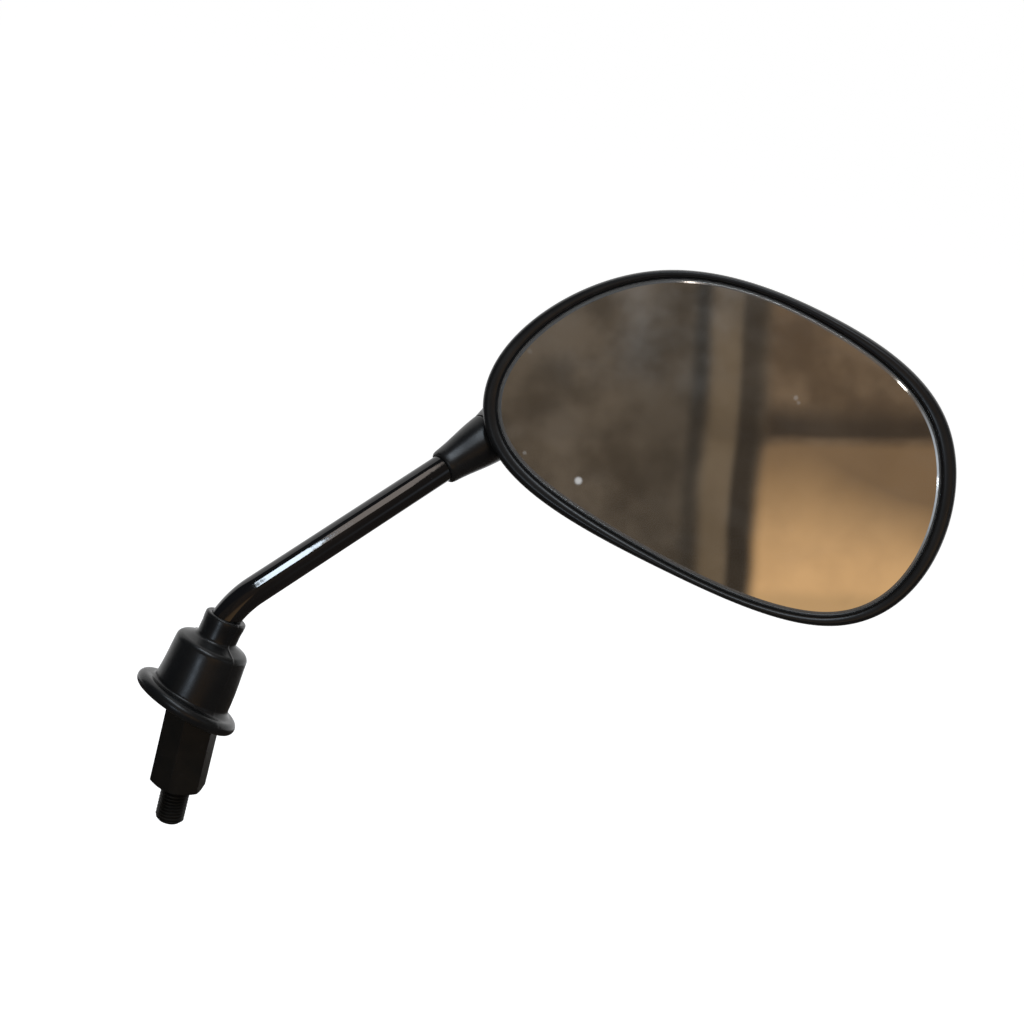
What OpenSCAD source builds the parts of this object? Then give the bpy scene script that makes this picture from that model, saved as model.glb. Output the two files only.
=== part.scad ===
// Motorcycle mirror: a threaded adapter, a bent stem with a rubber boot, and a convex
// mirror in a domed housing that swings on a ball joint.
// Origin: centre of the adapter hexagon's lower face. +Z runs up the stud's axis,
// -Y faces the rider and +X points outboard. Millimetres and degrees.

/* [Adapter] */
// Radius of the mounting stud
stud_r = 5; // [4:0.5:6]
// Length of the mounting stud below its seat
stud_len = 14; // [10:1:20]
// Chamfer at the stud's tip
stud_chamfer = 1.2; // [0.4:0.2:2]
// Adapter hexagon, across its flats
adapter_af = 17; // [15:0.5:18]
// Length of the adapter's hexagon
adapter_len = 31; // [28:0.5:32]
// Turn of the hexagon about the stud's axis
hex_turn = 25; // [0:1:60]
// Depth of the threaded socket in the adapter's top
socket_depth = 14; // [12:0.5:18]
// Lock nut, across its flats
nut_af = 14; // [13:0.5:15]
// Height of the lock nut
nut_h = 6; // [4:0.5:7]
// Thickness of the lock washer
washer_t = 1.4; // [0.8:0.2:2]

/* [Stem] */
// Radius of the stem rod
rod_r = 5; // [4:0.25:5.5]
// Length of stem thread held in the adapter
thread_hold = 11.5; // [8:0.5:12]
// Height above the seat at which the bend starts
stem_rise = 48; // [46:0.5:52]
// Centreline radius of the bend
bend_r = 30; // [26:1:36]
// Angle of the bend
bend_deg = 55; // [48:1:60]
// Direction of the bend, from outboard towards the front of the vehicle
bend_azimuth = 43; // [30:1:55]
// Straight arm from the bend to the centre of the ball
arm_len = 113; // [90:1:140]

/* [Boot] */
// Radius of the boot's brim
brim_r = 19; // [17:0.5:22]
// Thickness of the brim
brim_t = 4.8; // [3.6:0.2:6]
// How much further the brim leans than the boot's body
brim_lean = 9; // [6:0.5:9]
// Outer radius of the boot's body at the brim
boot_r = 14; // [13.6:0.1:15]
// Outer radius of the boot's body at its shoulder
boot_top_r = 12.8; // [12.6:0.1:13.6]
// Height of the boot's body above the middle of the brim
boot_h = 22.7; // [22:0.1:25]
// Rounding of the boot's shoulder
shoulder_r = 2.4; // [1:0.2:4]
// Rise of the boot's top from the shoulder to the collar
shoulder_rise = 1.4; // [0:0.2:2.4]
// Radius of the collar that grips the rod
collar_r = 7.2; // [7.1:0.1:8.5]
// Height of the collar
collar_h = 10; // [8:0.5:10.5]
// Rounding of the collar's rim
collar_round = 0.8; // [0.4:0.1:1.2]
// Wall of the boot
boot_wall = 2; // [1.4:0.1:2.2]
// Radius of the boot's mouth
mouth_r = 14.2; // [14:0.1:15]
// Sink of the brim's bar into the body at the mouth
mouth_lip = 0.6; // [0.4:0.1:0.8]
// Chamfer inside the boot's mouth and under its top
inner_chamfer = 1; // [0.6:0.1:1.4]
// Lean of the boot from the stud's axis
boot_lean = 13.2; // [11:0.1:15]
// Direction in which the boot leans
boot_azimuth = 36; // [30:1:43]
// Angle along the bend at which the collar's rim lies
boot_grip = 30; // [28:1:32]

/* [Ball joint] */
// Radius of the pivot ball
ball_r = 6.5; // [6:0.25:7]
// Thickness of the plastic seats round the ball
seat_t = 1.45; // [1:0.05:1.6]
// Gap between the two seats
seat_split = 0.8; // [0.4:0.1:1.4]
// Clearance between the surfaces that slide
slide_gap = 0.05; // [0.03:0.01:0.1]
// Step from the spherical socket out to the bore behind it
bore_step = 1.05; // [0.9:0.05:1.2]
// Width of the ball's flats round its spigot hole
flat_margin = 0.8; // [0.6:0.1:1]
// Width of the socket's parts round their centre hole, measured from the spigot
hole_margin = 1.6; // [1.4:0.1:1.8]
// Radius of the stem's turned neck below the ball
neck_r = 4; // [3.5:0.1:4.2]
// Radius of the spigot through the ball
spigot_r = 2.5; // [2:0.1:2.8]
// Swing of the ball joint to each side, on each of its two axes
swing_deg = 10; // [6:1:10]
// Distance from the ball's centre back to the stem's shoulder
shoulder_back = 10.5; // [10.5:0.25:12]
// Distance from the ball's centre back to the housing's neck face
neck_face = 9.5; // [9:0.25:10]
// Opening radius at the housing's neck face
neck_open_r = 8; // [8:0.1:8.2]
// Wall of the socket tube
tube_wall = 1.9; // [1.6:0.1:2.2]
// Length of the socket tube past the ball's centre
tube_len = 16; // [16:0.25:18]
// Height of the pressure cup above the ball's centre
cup_h = 9.6; // [9.4:0.1:10]
// Thickness of each disc spring
disc_t = 0.5; // [0.3:0.05:0.6]
// Height of each coned disc spring
disc_h = 0.8; // [0.7:0.02:0.82]
// Play of the disc springs in the bore and round the centre hole
disc_play = 0.5; // [0.3:0.1:0.6]
// Thickness of the retaining ring
ring_t = 3; // [2:0.25:3.4]
// Width of the crossed slots in the retaining ring
slot_w = 1.6; // [1:0.2:2]
// Depth of the slots
slot_d = 1; // [0.6:0.2:1.4]

/* [Gaiter] */
// Outer radius of the gaiter at the housing
gaiter_root_r = 9.2; // [9.1:0.1:9.8]
// Outer radius of the gaiter at its small end
gaiter_tip_r = 6.3; // [6.2:0.1:7]
// Length of the gaiter along the rod
gaiter_len = 22; // [18:0.5:26]
// Length of the gaiter's bore that grips the rod
gaiter_grip = 4; // [3:0.5:5]
// Chamfer at the gaiter's small end
gaiter_chamfer = 0.4; // [0.2:0.1:0.6]

/* [Head] */
// Length of the head along its long axis
head_len = 168; // [150:1:180]
// Height of the head across its long axis
head_ht = 106; // [96:1:112]
// Depth of the housing behind the rim
head_depth = 46; // [44:0.5:52]
// Tilt of the face upwards
head_pitch = 12; // [6:1:18]
// Turn of the face, outboard positive
head_yaw = -5.7; // [-12:0.1:2]
// Droop of the long axis
head_roll = -10.3; // [-16:0.1:-4]
// Distance of the ball's centre from the head's narrow end
ball_from_end = 13; // [12:0.25:16]
// Distance of the ball's centre above the head's lower edge
ball_from_foot = 26; // [24:0.25:28]
// Ball's place in the head: behind the rim
ball_z = -21; // [-22:0.25:-20.5]
// Fullness of the housing's dome
dome_power = 2.9; // [2.6:0.1:3.4]
// Housing wall
wall = 2.2; // [1.8:0.1:2.6]
// Distance behind the rim at which the housing is widest
belt_z = 5; // [3.5:0.5:6]
// Mean width of the rounded rim
lip_w = 3.6; // [3.4:0.1:4.2]
// How much wider the rim is at its two wide places
lip_swell = 1.2; // [0:0.1:1.2]
// Direction of the rim's wide places from the long axis
lip_turn = 25; // [0:1:90]
// Depth of the step inside the rim
lip_step = 1.2; // [0.6:0.1:2]
// Radius of the bosses for the backing plate
boss_r = 3.4; // [3:0.1:4]

/* [Mirror] */
// Radius of the mirror's convex face
glass_radius = 1200; // [1000:50:2000]
// Depth of the mirror's crown behind the rim
glass_recess = 0.4; // [0.2:0.1:1]
// Thickness of the mirror glass
glass_t = 2; // [1.6:0.1:2.4]
// Width of the ground bevel round the glass
bevel_w = 1.5; // [0.6:0.1:2.5]
// Depth of the ground bevel
bevel_d = 0.8; // [0.3:0.1:1.2]
// Depth of the seal's edge behind the rim's crown
seal_drop = 0.4; // [0.2:0.1:0.6]
// Thickness of the adhesive foam pad
pad_t = 0.8; // [0.6:0.1:1.2]
// Distance of the pad's edge inside the glass's edge
pad_inset = 2; // [1:0.25:4]
// Thickness of the backing plate
plate_t = 1.6; // [1.2:0.1:1.8]
// Width of the rubber seal round the glass
seal_w = 0.6; // [0.4:0.1:0.8]
// Radius of the backing plate's screws
screw_r = 1.5; // [1.2:0.1:1.7]
// Length of the backing plate's screws
screw_len = 8; // [6:0.5:10]

/* [Hidden] */
$fn = 64;
// Facets of small roundings
small_fn = 32;
eps = 0.01;
// Cutting shapes run past the piece by this much
over = 1;
// The rod is a little thinner round its bend, and its straight stretches lap over the bend's ends
bend_thinning = 0.05;
lap = 0.1;

// Small clearance between pieces that are assembled and stay still
fit_gap = 0.1;
// Clearance of soft pieces from their seats
soft_gap = 0.25;
// Corner radius of a hexagon from its size across flats
function corner_r(af) = af / 2 / cos(30);

// Heights along the stud's axis
washer_z = adapter_len + slide_gap;
nut_z = washer_z + washer_t;
stem_bottom = adapter_len - thread_hold;

// The bend's plane and the arm's direction
function bend_point(a) = [
    bend_r * (1 - cos(a)) * cos(bend_azimuth),
    bend_r * (1 - cos(a)) * sin(bend_azimuth),
    stem_rise + bend_r * sin(a)
];
arm_dir = [
    sin(bend_deg) * cos(bend_azimuth),
    sin(bend_deg) * sin(bend_azimuth),
    cos(bend_deg)
];
arm_x = [
    cos(bend_deg) * cos(bend_azimuth),
    cos(bend_deg) * sin(bend_azimuth),
    -sin(bend_deg)
];
arm_y = [-sin(bend_azimuth), cos(bend_azimuth), 0];
ball_pos = bend_point(bend_deg) + arm_len * arm_dir;

// The face's normal, and the turn of the joint that brings its x axis towards it
face_normal = [
    cos(head_pitch) * sin(head_yaw),
    -cos(head_pitch) * cos(head_yaw),
    sin(head_pitch)
];
joint_turn = atan2(face_normal * arm_y, face_normal * arm_x);

// Ball's place in the head, from the middle of its face
ball_x = ball_from_end - head_len / 2;
ball_y = ball_from_foot - head_ht / 2;

// Joint radii, from the ball outwards
seat_in_r = ball_r + slide_gap;
seat_out_r = seat_in_r + seat_t;
socket_r = seat_out_r + slide_gap;
bore_r = socket_r + bore_step;
tube_r = bore_r + tube_wall;
// Largest lean of the neck when both axes of the joint are at their limits
swing_all = acos(cos(swing_deg) * cos(swing_deg));
// Radius that a rod of radius r needs at a distance d from the ball's centre
function swept_r(r, d, lean) = r / cos(lean) + d * tan(lean);
// Screw that holds the ball on its spigot
pin_r = spigot_r / 2;
pin_len = 5;
pin_head_r = spigot_r + 0.3;
pin_head_h = 0.5;
// Depth of the pin's hole past the pin's end
pin_room = 0.5;
// Height of the ball's two flats above and below its centre
flat_r = spigot_r + flat_margin;
ball_flat = sqrt(ball_r * ball_r - flat_r * flat_r);
ball_washer_t = 0.4;
ball_washer_r = flat_r - fit_gap;
ball_washer_z = ball_flat + slide_gap;
// Distances from the ball's centre at which the seat's and the socket's mouths clear the neck
seat_reach = 4.8;
socket_reach = 5.4;
socket_play = 0.4;
seat_mouth_r = swept_r(neck_r, seat_reach, swing_deg) + fit_gap;
seat_lip = 0.2;
socket_mouth_r = swept_r(neck_r, socket_reach, swing_all) + socket_play;
socket_mouth_z = -sqrt(socket_r * socket_r - socket_mouth_r * socket_mouth_r);
// The outer seat clears the washer at the swing's limits, and its height covers the washer
seat_hole_r = swept_r(ball_washer_r, ball_washer_z + ball_washer_t, swing_deg) + fit_gap;
seat_top = ball_washer_z + ball_washer_t + fit_gap;
// Centre hole of the pressure cup and of the retaining ring
centre_hole_r = spigot_r + hole_margin;

// Closed cubic spline round the head. The control points are shares of half the
// head's length and height.
head_control = [
    [1.07, -0.01], [0.83, 0.97], [0.18, 1.14], [-0.63, 1.00],
    [-1.11, -0.11], [-0.87, -0.90], [0.03, -0.91], [0.85, -0.84]
];
around = 64;
function control(i) =
    let (c = head_control[i % len(head_control)])
    [c.x * head_len / 2, c.y * head_ht / 2];
function spline_point(i, t) =
    ((1 - t) ^ 3 * control(i) + (3 * t ^ 3 - 6 * t ^ 2 + 4) * control(i + 1)
    + (-3 * t ^ 3 + 3 * t ^ 2 + 3 * t + 1) * control(i + 2) + t ^ 3 * control(i + 3)) / 6;
function spline_slope(i, t) =
    (-(1 - t) ^ 2 * control(i) + (3 * t ^ 2 - 4 * t) * control(i + 1)
    + (-3 * t ^ 2 + 2 * t + 1) * control(i + 2) + t ^ 2 * control(i + 3)) / 2;
spans = len(head_control);
outline = [for (k = [0:around - 1]) let (s = k * spans / around) spline_point(floor(s), s - floor(s))];
inward = [
    for (k = [0:around - 1])
    let (s = k * spans / around, d = spline_slope(floor(s), s - floor(s)))
    [-d.y, d.x] / norm(d)
];
// Width of the rim at each point of the outline
rim_w = [for (p = outline) lip_w + lip_swell * cos(2 * (atan2(p.y, p.x) - lip_turn))];

// The dome closes towards this point, which lies nearer to the joint than the middle does
pole = [-0.27 * head_len / 2, -0.11 * head_ht / 2];

// The outline moved inwards by a + b times the rim's width
function inset_ring(a, b) = [for (k = [0:around - 1]) outline[k] + inward[k] * (a + b * rim_w[k])];
// The same, drawn in towards the pole to the share s and set at height z
function ring3(a, b, s, z) = [for (p = inset_ring(a, b)) let (q = pole + (p - pole) * s) [q.x, q.y, z]];
// Share of the way from the pole to the inner wall at a point, and the dome's depth there
function dome_share(p) = max([
    for (k = [0:around - 1])
    ((pole - p) * inward[k]) / ((pole - outline[k]) * inward[k] - wall)
]);
function dome_depth(s, depth) = depth * max(0, 1 - s ^ dome_power) ^ (1 / dome_power);

// Height of the convex layer at a distance from the middle
function crown_z(r, front) = front - glass_recess - glass_radius + sqrt(glass_radius * glass_radius - r * r);

module in_head() {
    translate(ball_pos)
    rotate([0, 0, head_yaw])
    rotate([90 - head_pitch, 0, 0])
    rotate([0, 0, head_roll])
    translate([-ball_x, -ball_y, -ball_z])
    children();
}

// Frame of the ball joint: centre of the ball, z along the arm, x towards the face
module in_arm() {
    translate(ball_pos)
    rotate([0, 0, bend_azimuth])
    rotate([0, bend_deg, 0])
    rotate([0, 0, joint_turn])
    children();
}

module in_boot() {
    translate(bend_point(boot_grip))
    rotate([0, 0, boot_azimuth])
    rotate([0, boot_lean, 0])
    translate([0, 0, -collar_h - boot_h])
    children();
}

// Solid between rings of equal point count, closed by a flat face at each end
module loft(rings) {
    n = len(rings[0]);
    m = len(rings);
    points = [for (r = rings) each r];
    sides = [
        for (j = [0:m - 2]) for (k = [0:n - 1])
        let (a = j * n + k, b = j * n + (k + 1) % n, c = a + n, d = b + n)
        each [[a, c, b], [b, c, d]]
    ];
    first = [for (k = [0:n - 1]) k];
    last = [for (k = [n - 1:-1:0]) (m - 1) * n + k];
    polyhedron(points = points, faces = concat(sides, [first, last]), convexity = 8);
}

// Hexagon with its corners chamfered at both ends, or at the top only
module hex_bar(af, h, both = true) {
    r = corner_r(af);
    cut = r - af / 2;
    intersection() {
        cylinder(r = r, h = h, $fn = 6);
        rotate_extrude()
        polygon([
            [0, 0], [both ? r - cut : r, 0], [r, both ? cut * tan(30) : 0],
            [r, h - cut * tan(30)], [r - cut, h], [0, h]
        ]);
    }
}

module adapter() {
    color([0.09, 0.085, 0.08])
    difference() {
        union() {
            rotate([0, 0, hex_turn])
            hex_bar(adapter_af, adapter_len);
            translate([0, 0, -stud_len + stud_chamfer])
            cylinder(r = stud_r, h = stud_len - stud_chamfer + eps);
            translate([0, 0, -stud_len])
            cylinder(r1 = stud_r - stud_chamfer, r2 = stud_r, h = stud_chamfer);
        }
        translate([0, 0, adapter_len - socket_depth])
        cylinder(r = rod_r + slide_gap, h = socket_depth + over);
        translate([0, 0, adapter_len - socket_depth - rod_r / 2])
        cylinder(r1 = 0, r2 = rod_r + slide_gap, h = rod_r / 2);
    }
}

module lock_washer() {
    color([0.35, 0.35, 0.36])
    translate([0, 0, washer_z])
    difference() {
        cylinder(r = nut_af / 2, h = washer_t);
        translate([0, 0, -over])
        cylinder(r = rod_r + fit_gap, h = washer_t + 2 * over);
    }
}

module lock_nut() {
    color([0.3, 0.3, 0.31])
    translate([0, 0, nut_z])
    difference() {
        rotate([0, 0, hex_turn])
        hex_bar(nut_af, nut_h);
        translate([0, 0, -over])
        cylinder(r = rod_r + fit_gap / 2, h = nut_h + 2 * over);
    }
}

// The bent rod from its lower end to a distance past the bend, at radius r
module rod_path(r, low, straight) {
    rotate([0, 0, bend_azimuth]) {
        translate([0, 0, low])
        cylinder(r = r, h = stem_rise - low + lap);
        translate([bend_r, 0, stem_rise])
        rotate([90, 0, 0]) {
            rotate([0, 0, 180 - bend_deg])
            rotate_extrude(angle = bend_deg)
            translate([bend_r, 0])
            circle(r = r - bend_thinning);
            rotate([0, 0, 180 - bend_deg])
            translate([bend_r, lap, 0])
            rotate([90, 0, 0])
            cylinder(r = r, h = straight + lap);
        }
    }
}

module stem() {
    color([0.04, 0.04, 0.045]) {
        rod_path(rod_r, stem_bottom, arm_len - shoulder_back);
        in_arm() {
            translate([0, 0, -shoulder_back - eps])
            cylinder(r = neck_r, h = shoulder_back - ball_flat - slide_gap + eps);
            difference() {
                translate([0, 0, -ball_flat - over])
                cylinder(r = spigot_r, h = 2 * ball_flat + over);
                translate([0, 0, ball_flat - pin_len - pin_room])
                cylinder(r = pin_r, h = pin_len + pin_room + over);
            }
        }
    }
}

// Half section of a bar with rounded ends, from radius r1 to r2 and of thickness t
module round_bar(r1, r2, t) {
    translate([r1 + t / 2, -t / 2])
    square([r2 - r1 - t, t]);
    for (r = [r1 + t / 2, r2 - t / 2])
        translate([r, 0])
        circle(d = t, $fn = small_fn);
}

module rubber_boot() {
    inner = boot_r - boot_wall;
    inner_top = boot_top_r - boot_wall;
    shoulder = boot_top_r - shoulder_r;
    roof = boot_h - boot_wall;
    rim = boot_h + collar_h;
    color([0.05, 0.05, 0.055])
    difference() {
        in_boot() {
            rotate_extrude() {
                difference() {
                    union() {
                        polygon([
                            [0, 0], [boot_r, 0], [boot_top_r, boot_h - shoulder_r], [shoulder, boot_h],
                            [collar_r, boot_h + shoulder_rise], [0, boot_h + shoulder_rise]
                        ]);
                        translate([shoulder, boot_h - shoulder_r])
                        circle(r = shoulder_r, $fn = small_fn);
                        square([collar_r, rim - collar_round]);
                        square([collar_r - collar_round, rim]);
                        translate([collar_r - collar_round, rim - collar_round])
                        circle(r = collar_round, $fn = small_fn);
                    }
                    polygon([
                        [0, -eps], [mouth_r - inner_chamfer, -eps], [inner, brim_t],
                        [inner_top, roof - inner_chamfer], [inner_top - inner_chamfer, roof], [0, roof]
                    ]);
                }
            }
            rotate([0, brim_lean, 0])
            rotate_extrude()
            round_bar(mouth_r - mouth_lip, brim_r, brim_t);
        }
        rod_path(rod_r + fit_gap, adapter_len, bend_r);
        translate([0, 0, -over])
        cylinder(r = corner_r(adapter_af) + soft_gap, h = adapter_len + over + soft_gap);
    }
}

module pivot_ball() {
    color([0.8, 0.8, 0.78])
    in_arm()
    difference() {
        intersection() {
            sphere(r = ball_r);
            translate([-ball_r, -ball_r, -ball_flat])
            cube([2 * ball_r, 2 * ball_r, 2 * ball_flat]);
        }
        translate([0, 0, -ball_r - over])
        cylinder(r = spigot_r + slide_gap, h = 2 * (ball_r + over));
    }
}

module ball_washer() {
    color([0.6, 0.6, 0.62])
    in_arm()
    translate([0, 0, ball_washer_z])
    difference() {
        cylinder(r = ball_washer_r, h = ball_washer_t);
        translate([0, 0, -over])
        cylinder(r = pin_r, h = ball_washer_t + 2 * over);
    }
}

module ball_screw() {
    color([0.6, 0.6, 0.62])
    in_arm()
    translate([0, 0, ball_washer_z]) {
        translate([0, 0, ball_washer_t])
        cylinder(r = pin_head_r, h = pin_head_h);
        translate([0, 0, -pin_len])
        cylinder(r = pin_r - slide_gap, h = pin_len + ball_washer_t + eps);
    }
}

// One seat: the part of a spherical shell between two heights, with a hole for the neck
module seat(low, high, hole) {
    difference() {
        intersection() {
            sphere(r = seat_out_r);
            translate([-seat_out_r, -seat_out_r, low])
            cube([2 * seat_out_r, 2 * seat_out_r, high - low]);
        }
        sphere(r = seat_in_r);
        translate([0, 0, low - over])
        cylinder(r = hole, h = high - low + 2 * over);
    }
}

module seat_inner() {
    color([0.85, 0.85, 0.82])
    in_arm()
    seat(-sqrt(seat_in_r * seat_in_r - seat_mouth_r * seat_mouth_r) - seat_lip, -seat_split / 2, seat_mouth_r);
}

module seat_outer() {
    color([0.85, 0.85, 0.82])
    in_arm()
    seat(seat_split / 2, seat_top, seat_hole_r);
}

// Section angles of the dome, evenly spaced from one near its pole to one near its edge
dome_rows = 9;
function dome_angles(first, last) = [for (i = [0:dome_rows]) first + (last - first) * i / dome_rows];

module housing_skin() {
    near_pole = 3;
    deep = head_depth - belt_z;
    share = 2 / dome_power;
    plate_play = 0.5;
    ledge = 0.5;
    plate_back = -crown_z(head_len / 2, -glass_t - pad_t - plate_t) + plate_play;
    loft(concat(
        [for (a = dome_angles(near_pole, 82)) ring3(0, 0, sin(a) ^ share, -belt_z - deep * cos(a) ^ share)],
        [for (a = [0:18:90]) ring3(0, 0.5 * (1 - cos(a)), 1, -belt_z * (1 - sin(a)))],
        [for (a = [30:30:90]) ring3(0, 0.5 + 0.5 * sin(a), 1, -lip_step * (1 - cos(a)))],
        [ring3(0, 1, 1, -plate_back)],
        [ring3(wall, 0, 1, -plate_back - ledge)],
        [
            for (a = dome_angles(84, near_pole))
            ring3(wall, 0, sin(a) ^ share, -belt_z - (deep - wall) * cos(a) ^ share)
        ]
    ));
}

// Bosses of the backing plate, as shares of half the head's length and height
boss_at = [[0.62, 0.5], [-0.2, 0.7], [-0.05, -0.56], [0.62, -0.48]];
function boss_xy(b) = [b.x * head_len / 2, b.y * head_ht / 2];
function boss_top(b) = crown_z(norm(boss_xy(b)) + boss_r, -glass_t - pad_t - plate_t);

module plate_bosses() {
    sink = 0.3 * wall;
    for (b = boss_at) {
        bottom = -belt_z - dome_depth(dome_share(boss_xy(b)), head_depth - wall - belt_z) - sink;
        translate([boss_xy(b).x, boss_xy(b).y, bottom])
        cylinder(r = boss_r, h = boss_top(b) - bottom);
    }
}

module housing() {
    bore_start = 0.5;
    neck_room = 6;
    color([0.06, 0.06, 0.065])
    difference() {
        union() {
            in_head() {
                housing_skin();
                plate_bosses();
            }
            in_arm() {
                translate([0, 0, -neck_face])
                cylinder(r1 = gaiter_root_r, r2 = tube_r, h = neck_face);
                cylinder(r = tube_r, h = tube_len);
            }
        }
        in_head()
        for (b = boss_at)
            translate([boss_xy(b).x, boss_xy(b).y, boss_top(b) - screw_len])
            cylinder(r = screw_r, h = screw_len + over);
        in_arm() {
            sphere(r = socket_r);
            translate([0, 0, -bore_start])
            cylinder(r = bore_r, h = tube_len + bore_start + over);
            translate([0, 0, -neck_face])
            cylinder(r1 = neck_open_r, r2 = socket_mouth_r, h = neck_face + socket_mouth_z + eps);
            translate([0, 0, -neck_face - neck_room])
            cylinder(r = gaiter_root_r + soft_gap, h = neck_room);
        }
    }
}

module pressure_cup() {
    cup_low = 1.5;
    color([0.55, 0.55, 0.57])
    in_arm()
    difference() {
        translate([0, 0, cup_low])
        cylinder(r = bore_r - fit_gap, h = cup_h - cup_low);
        sphere(r = socket_r);
        cylinder(r = centre_hole_r, h = cup_h + over);
    }
}

// One coned disc spring, wide side down
module disc_spring() {
    out = bore_r - disc_play;
    hole = centre_hole_r + disc_play;
    rotate_extrude()
    polygon([[out, 0], [out, disc_t], [hole, disc_h], [hole, disc_h - disc_t]]);
}

ring_z = tube_len - ring_t;
disc_room = ring_z - cup_h;

module disc_springs() {
    count = 4;
    color([0.5, 0.5, 0.55])
    in_arm()
    for (i = [0:count - 1])
        translate([0, 0, cup_h + disc_room * (i + 0.5) / count])
        mirror([0, 0, i % 2])
        translate([0, 0, -disc_h / 2])
        disc_spring();
}

module retaining_ring() {
    color([0.5, 0.5, 0.52])
    in_arm()
    translate([0, 0, ring_z])
    difference() {
        cylinder(r = bore_r - slide_gap, h = ring_t);
        translate([0, 0, -over])
        cylinder(r = centre_hole_r, h = ring_t + 2 * over);
        for (a = [0, 90])
            rotate([0, 0, a])
            translate([-bore_r, -slot_w / 2, ring_t - slot_d])
            cube([2 * bore_r, slot_w, slot_d + over]);
    }
}

module neck_gaiter() {
    tip = -neck_face - gaiter_len;
    root = -neck_face - soft_gap;
    color([0.05, 0.05, 0.055])
    in_arm()
    rotate_extrude()
    polygon([
        [rod_r + fit_gap, tip], [gaiter_tip_r - gaiter_chamfer, tip],
        [gaiter_tip_r, tip + gaiter_chamfer], [gaiter_root_r, root],
        [neck_open_r, root], [rod_r + fit_gap, tip + gaiter_grip]
    ]);
}

// Blank of a convex layer, which covers the whole outline
module crown_blank(front, t) {
    reach = norm([head_len, head_ht]) / 2;
    steps = 12;
    rim = [for (i = [0:steps]) reach * i / steps];
    rotate_extrude($fn = 96)
    polygon(concat(
        [for (r = rim) [r, crown_z(r, front)]],
        [for (i = [steps:-1:0]) [rim[i], crown_z(rim[i], front) - t]]
    ));
}

module crown_layer(edge, front, t) {
    intersection() {
        crown_blank(front, t);
        translate([0, 0, -head_depth])
        linear_extrude(2 * head_depth)
        polygon(inset_ring(edge, 1));
    }
}

module mirror_glass() {
    edge = seal_w;
    side = inset_ring(edge, 1);
    top = inset_ring(edge + 2 * bevel_w, 1);
    color([0.62, 0.56, 0.48])
    in_head()
    intersection() {
        crown_blank(0, glass_t);
        loft([
            [for (p = side) [p.x, p.y, -head_depth]],
            [for (p = side) [p.x, p.y, crown_z(norm(p), 0) - bevel_d]],
            [for (p = top) [p.x, p.y, crown_z(norm(p), 0) + bevel_d]],
            [for (p = top) [p.x, p.y, belt_z]]
        ]);
    }
}

module glass_seal() {
    color([0.02, 0.02, 0.02])
    in_head()
    difference() {
        crown_layer(fit_gap / 2, -seal_drop, glass_t + pad_t - seal_drop);
        translate([0, 0, -head_depth])
        linear_extrude(2 * head_depth)
        polygon(inset_ring(seal_w - fit_gap / 2, 1));
    }
}

module foam_pad() {
    color([0.25, 0.25, 0.25])
    in_head()
    crown_layer(seal_w + pad_inset, -glass_t, pad_t);
}

// Countersunk head of a plate screw, grown by extra, with its top at the plate's face
head_share = 1.85;
head_r = head_share * screw_r;
module at_screws() {
    for (b = boss_at)
        translate([boss_xy(b).x, boss_xy(b).y, crown_z(norm(boss_xy(b)) + head_r, -glass_t - pad_t)])
        children();
}
module screw_head(extra) {
    translate([0, 0, screw_r - head_r])
    cylinder(r1 = screw_r + extra, r2 = head_r + extra, h = head_r - screw_r);
}

module backing_plate() {
    color([0.12, 0.12, 0.12])
    in_head()
    difference() {
        crown_layer(fit_gap, -glass_t - pad_t, plate_t);
        at_screws() {
            screw_head(fit_gap);
            cylinder(r = head_r + fit_gap, h = over);
            translate([0, 0, -plate_t - over])
            cylinder(r = screw_r + fit_gap, h = plate_t + over);
        }
    }
}

module plate_screws() {
    color([0.55, 0.55, 0.57])
    in_head()
    at_screws() {
        screw_head(0);
        translate([0, 0, -screw_len])
        cylinder(r = screw_r - slide_gap, h = screw_len - head_r + screw_r + eps);
    }
}

adapter();
lock_washer();
lock_nut();
stem();
rubber_boot();
pivot_ball();
ball_washer();
ball_screw();
seat_inner();
seat_outer();
housing();
pressure_cup();
disc_springs();
retaining_ring();
neck_gaiter();
backing_plate();
plate_screws();
foam_pad();
glass_seal();
mirror_glass();
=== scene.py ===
"""Dresses the packed motorcycle mirror: detailed pieces, finishes, floor, light and camera.

The frame is millimetre work from the part's source, here in metres: the origin is the centre
of the adapter hexagon's lower face, +Z runs up the stud, -Y faces the rider.
"""
import math

import bmesh
import bpy
import numpy as np
from bpy.props import FloatProperty, FloatVectorProperty, PointerProperty
from mathutils import Matrix, Vector


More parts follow.
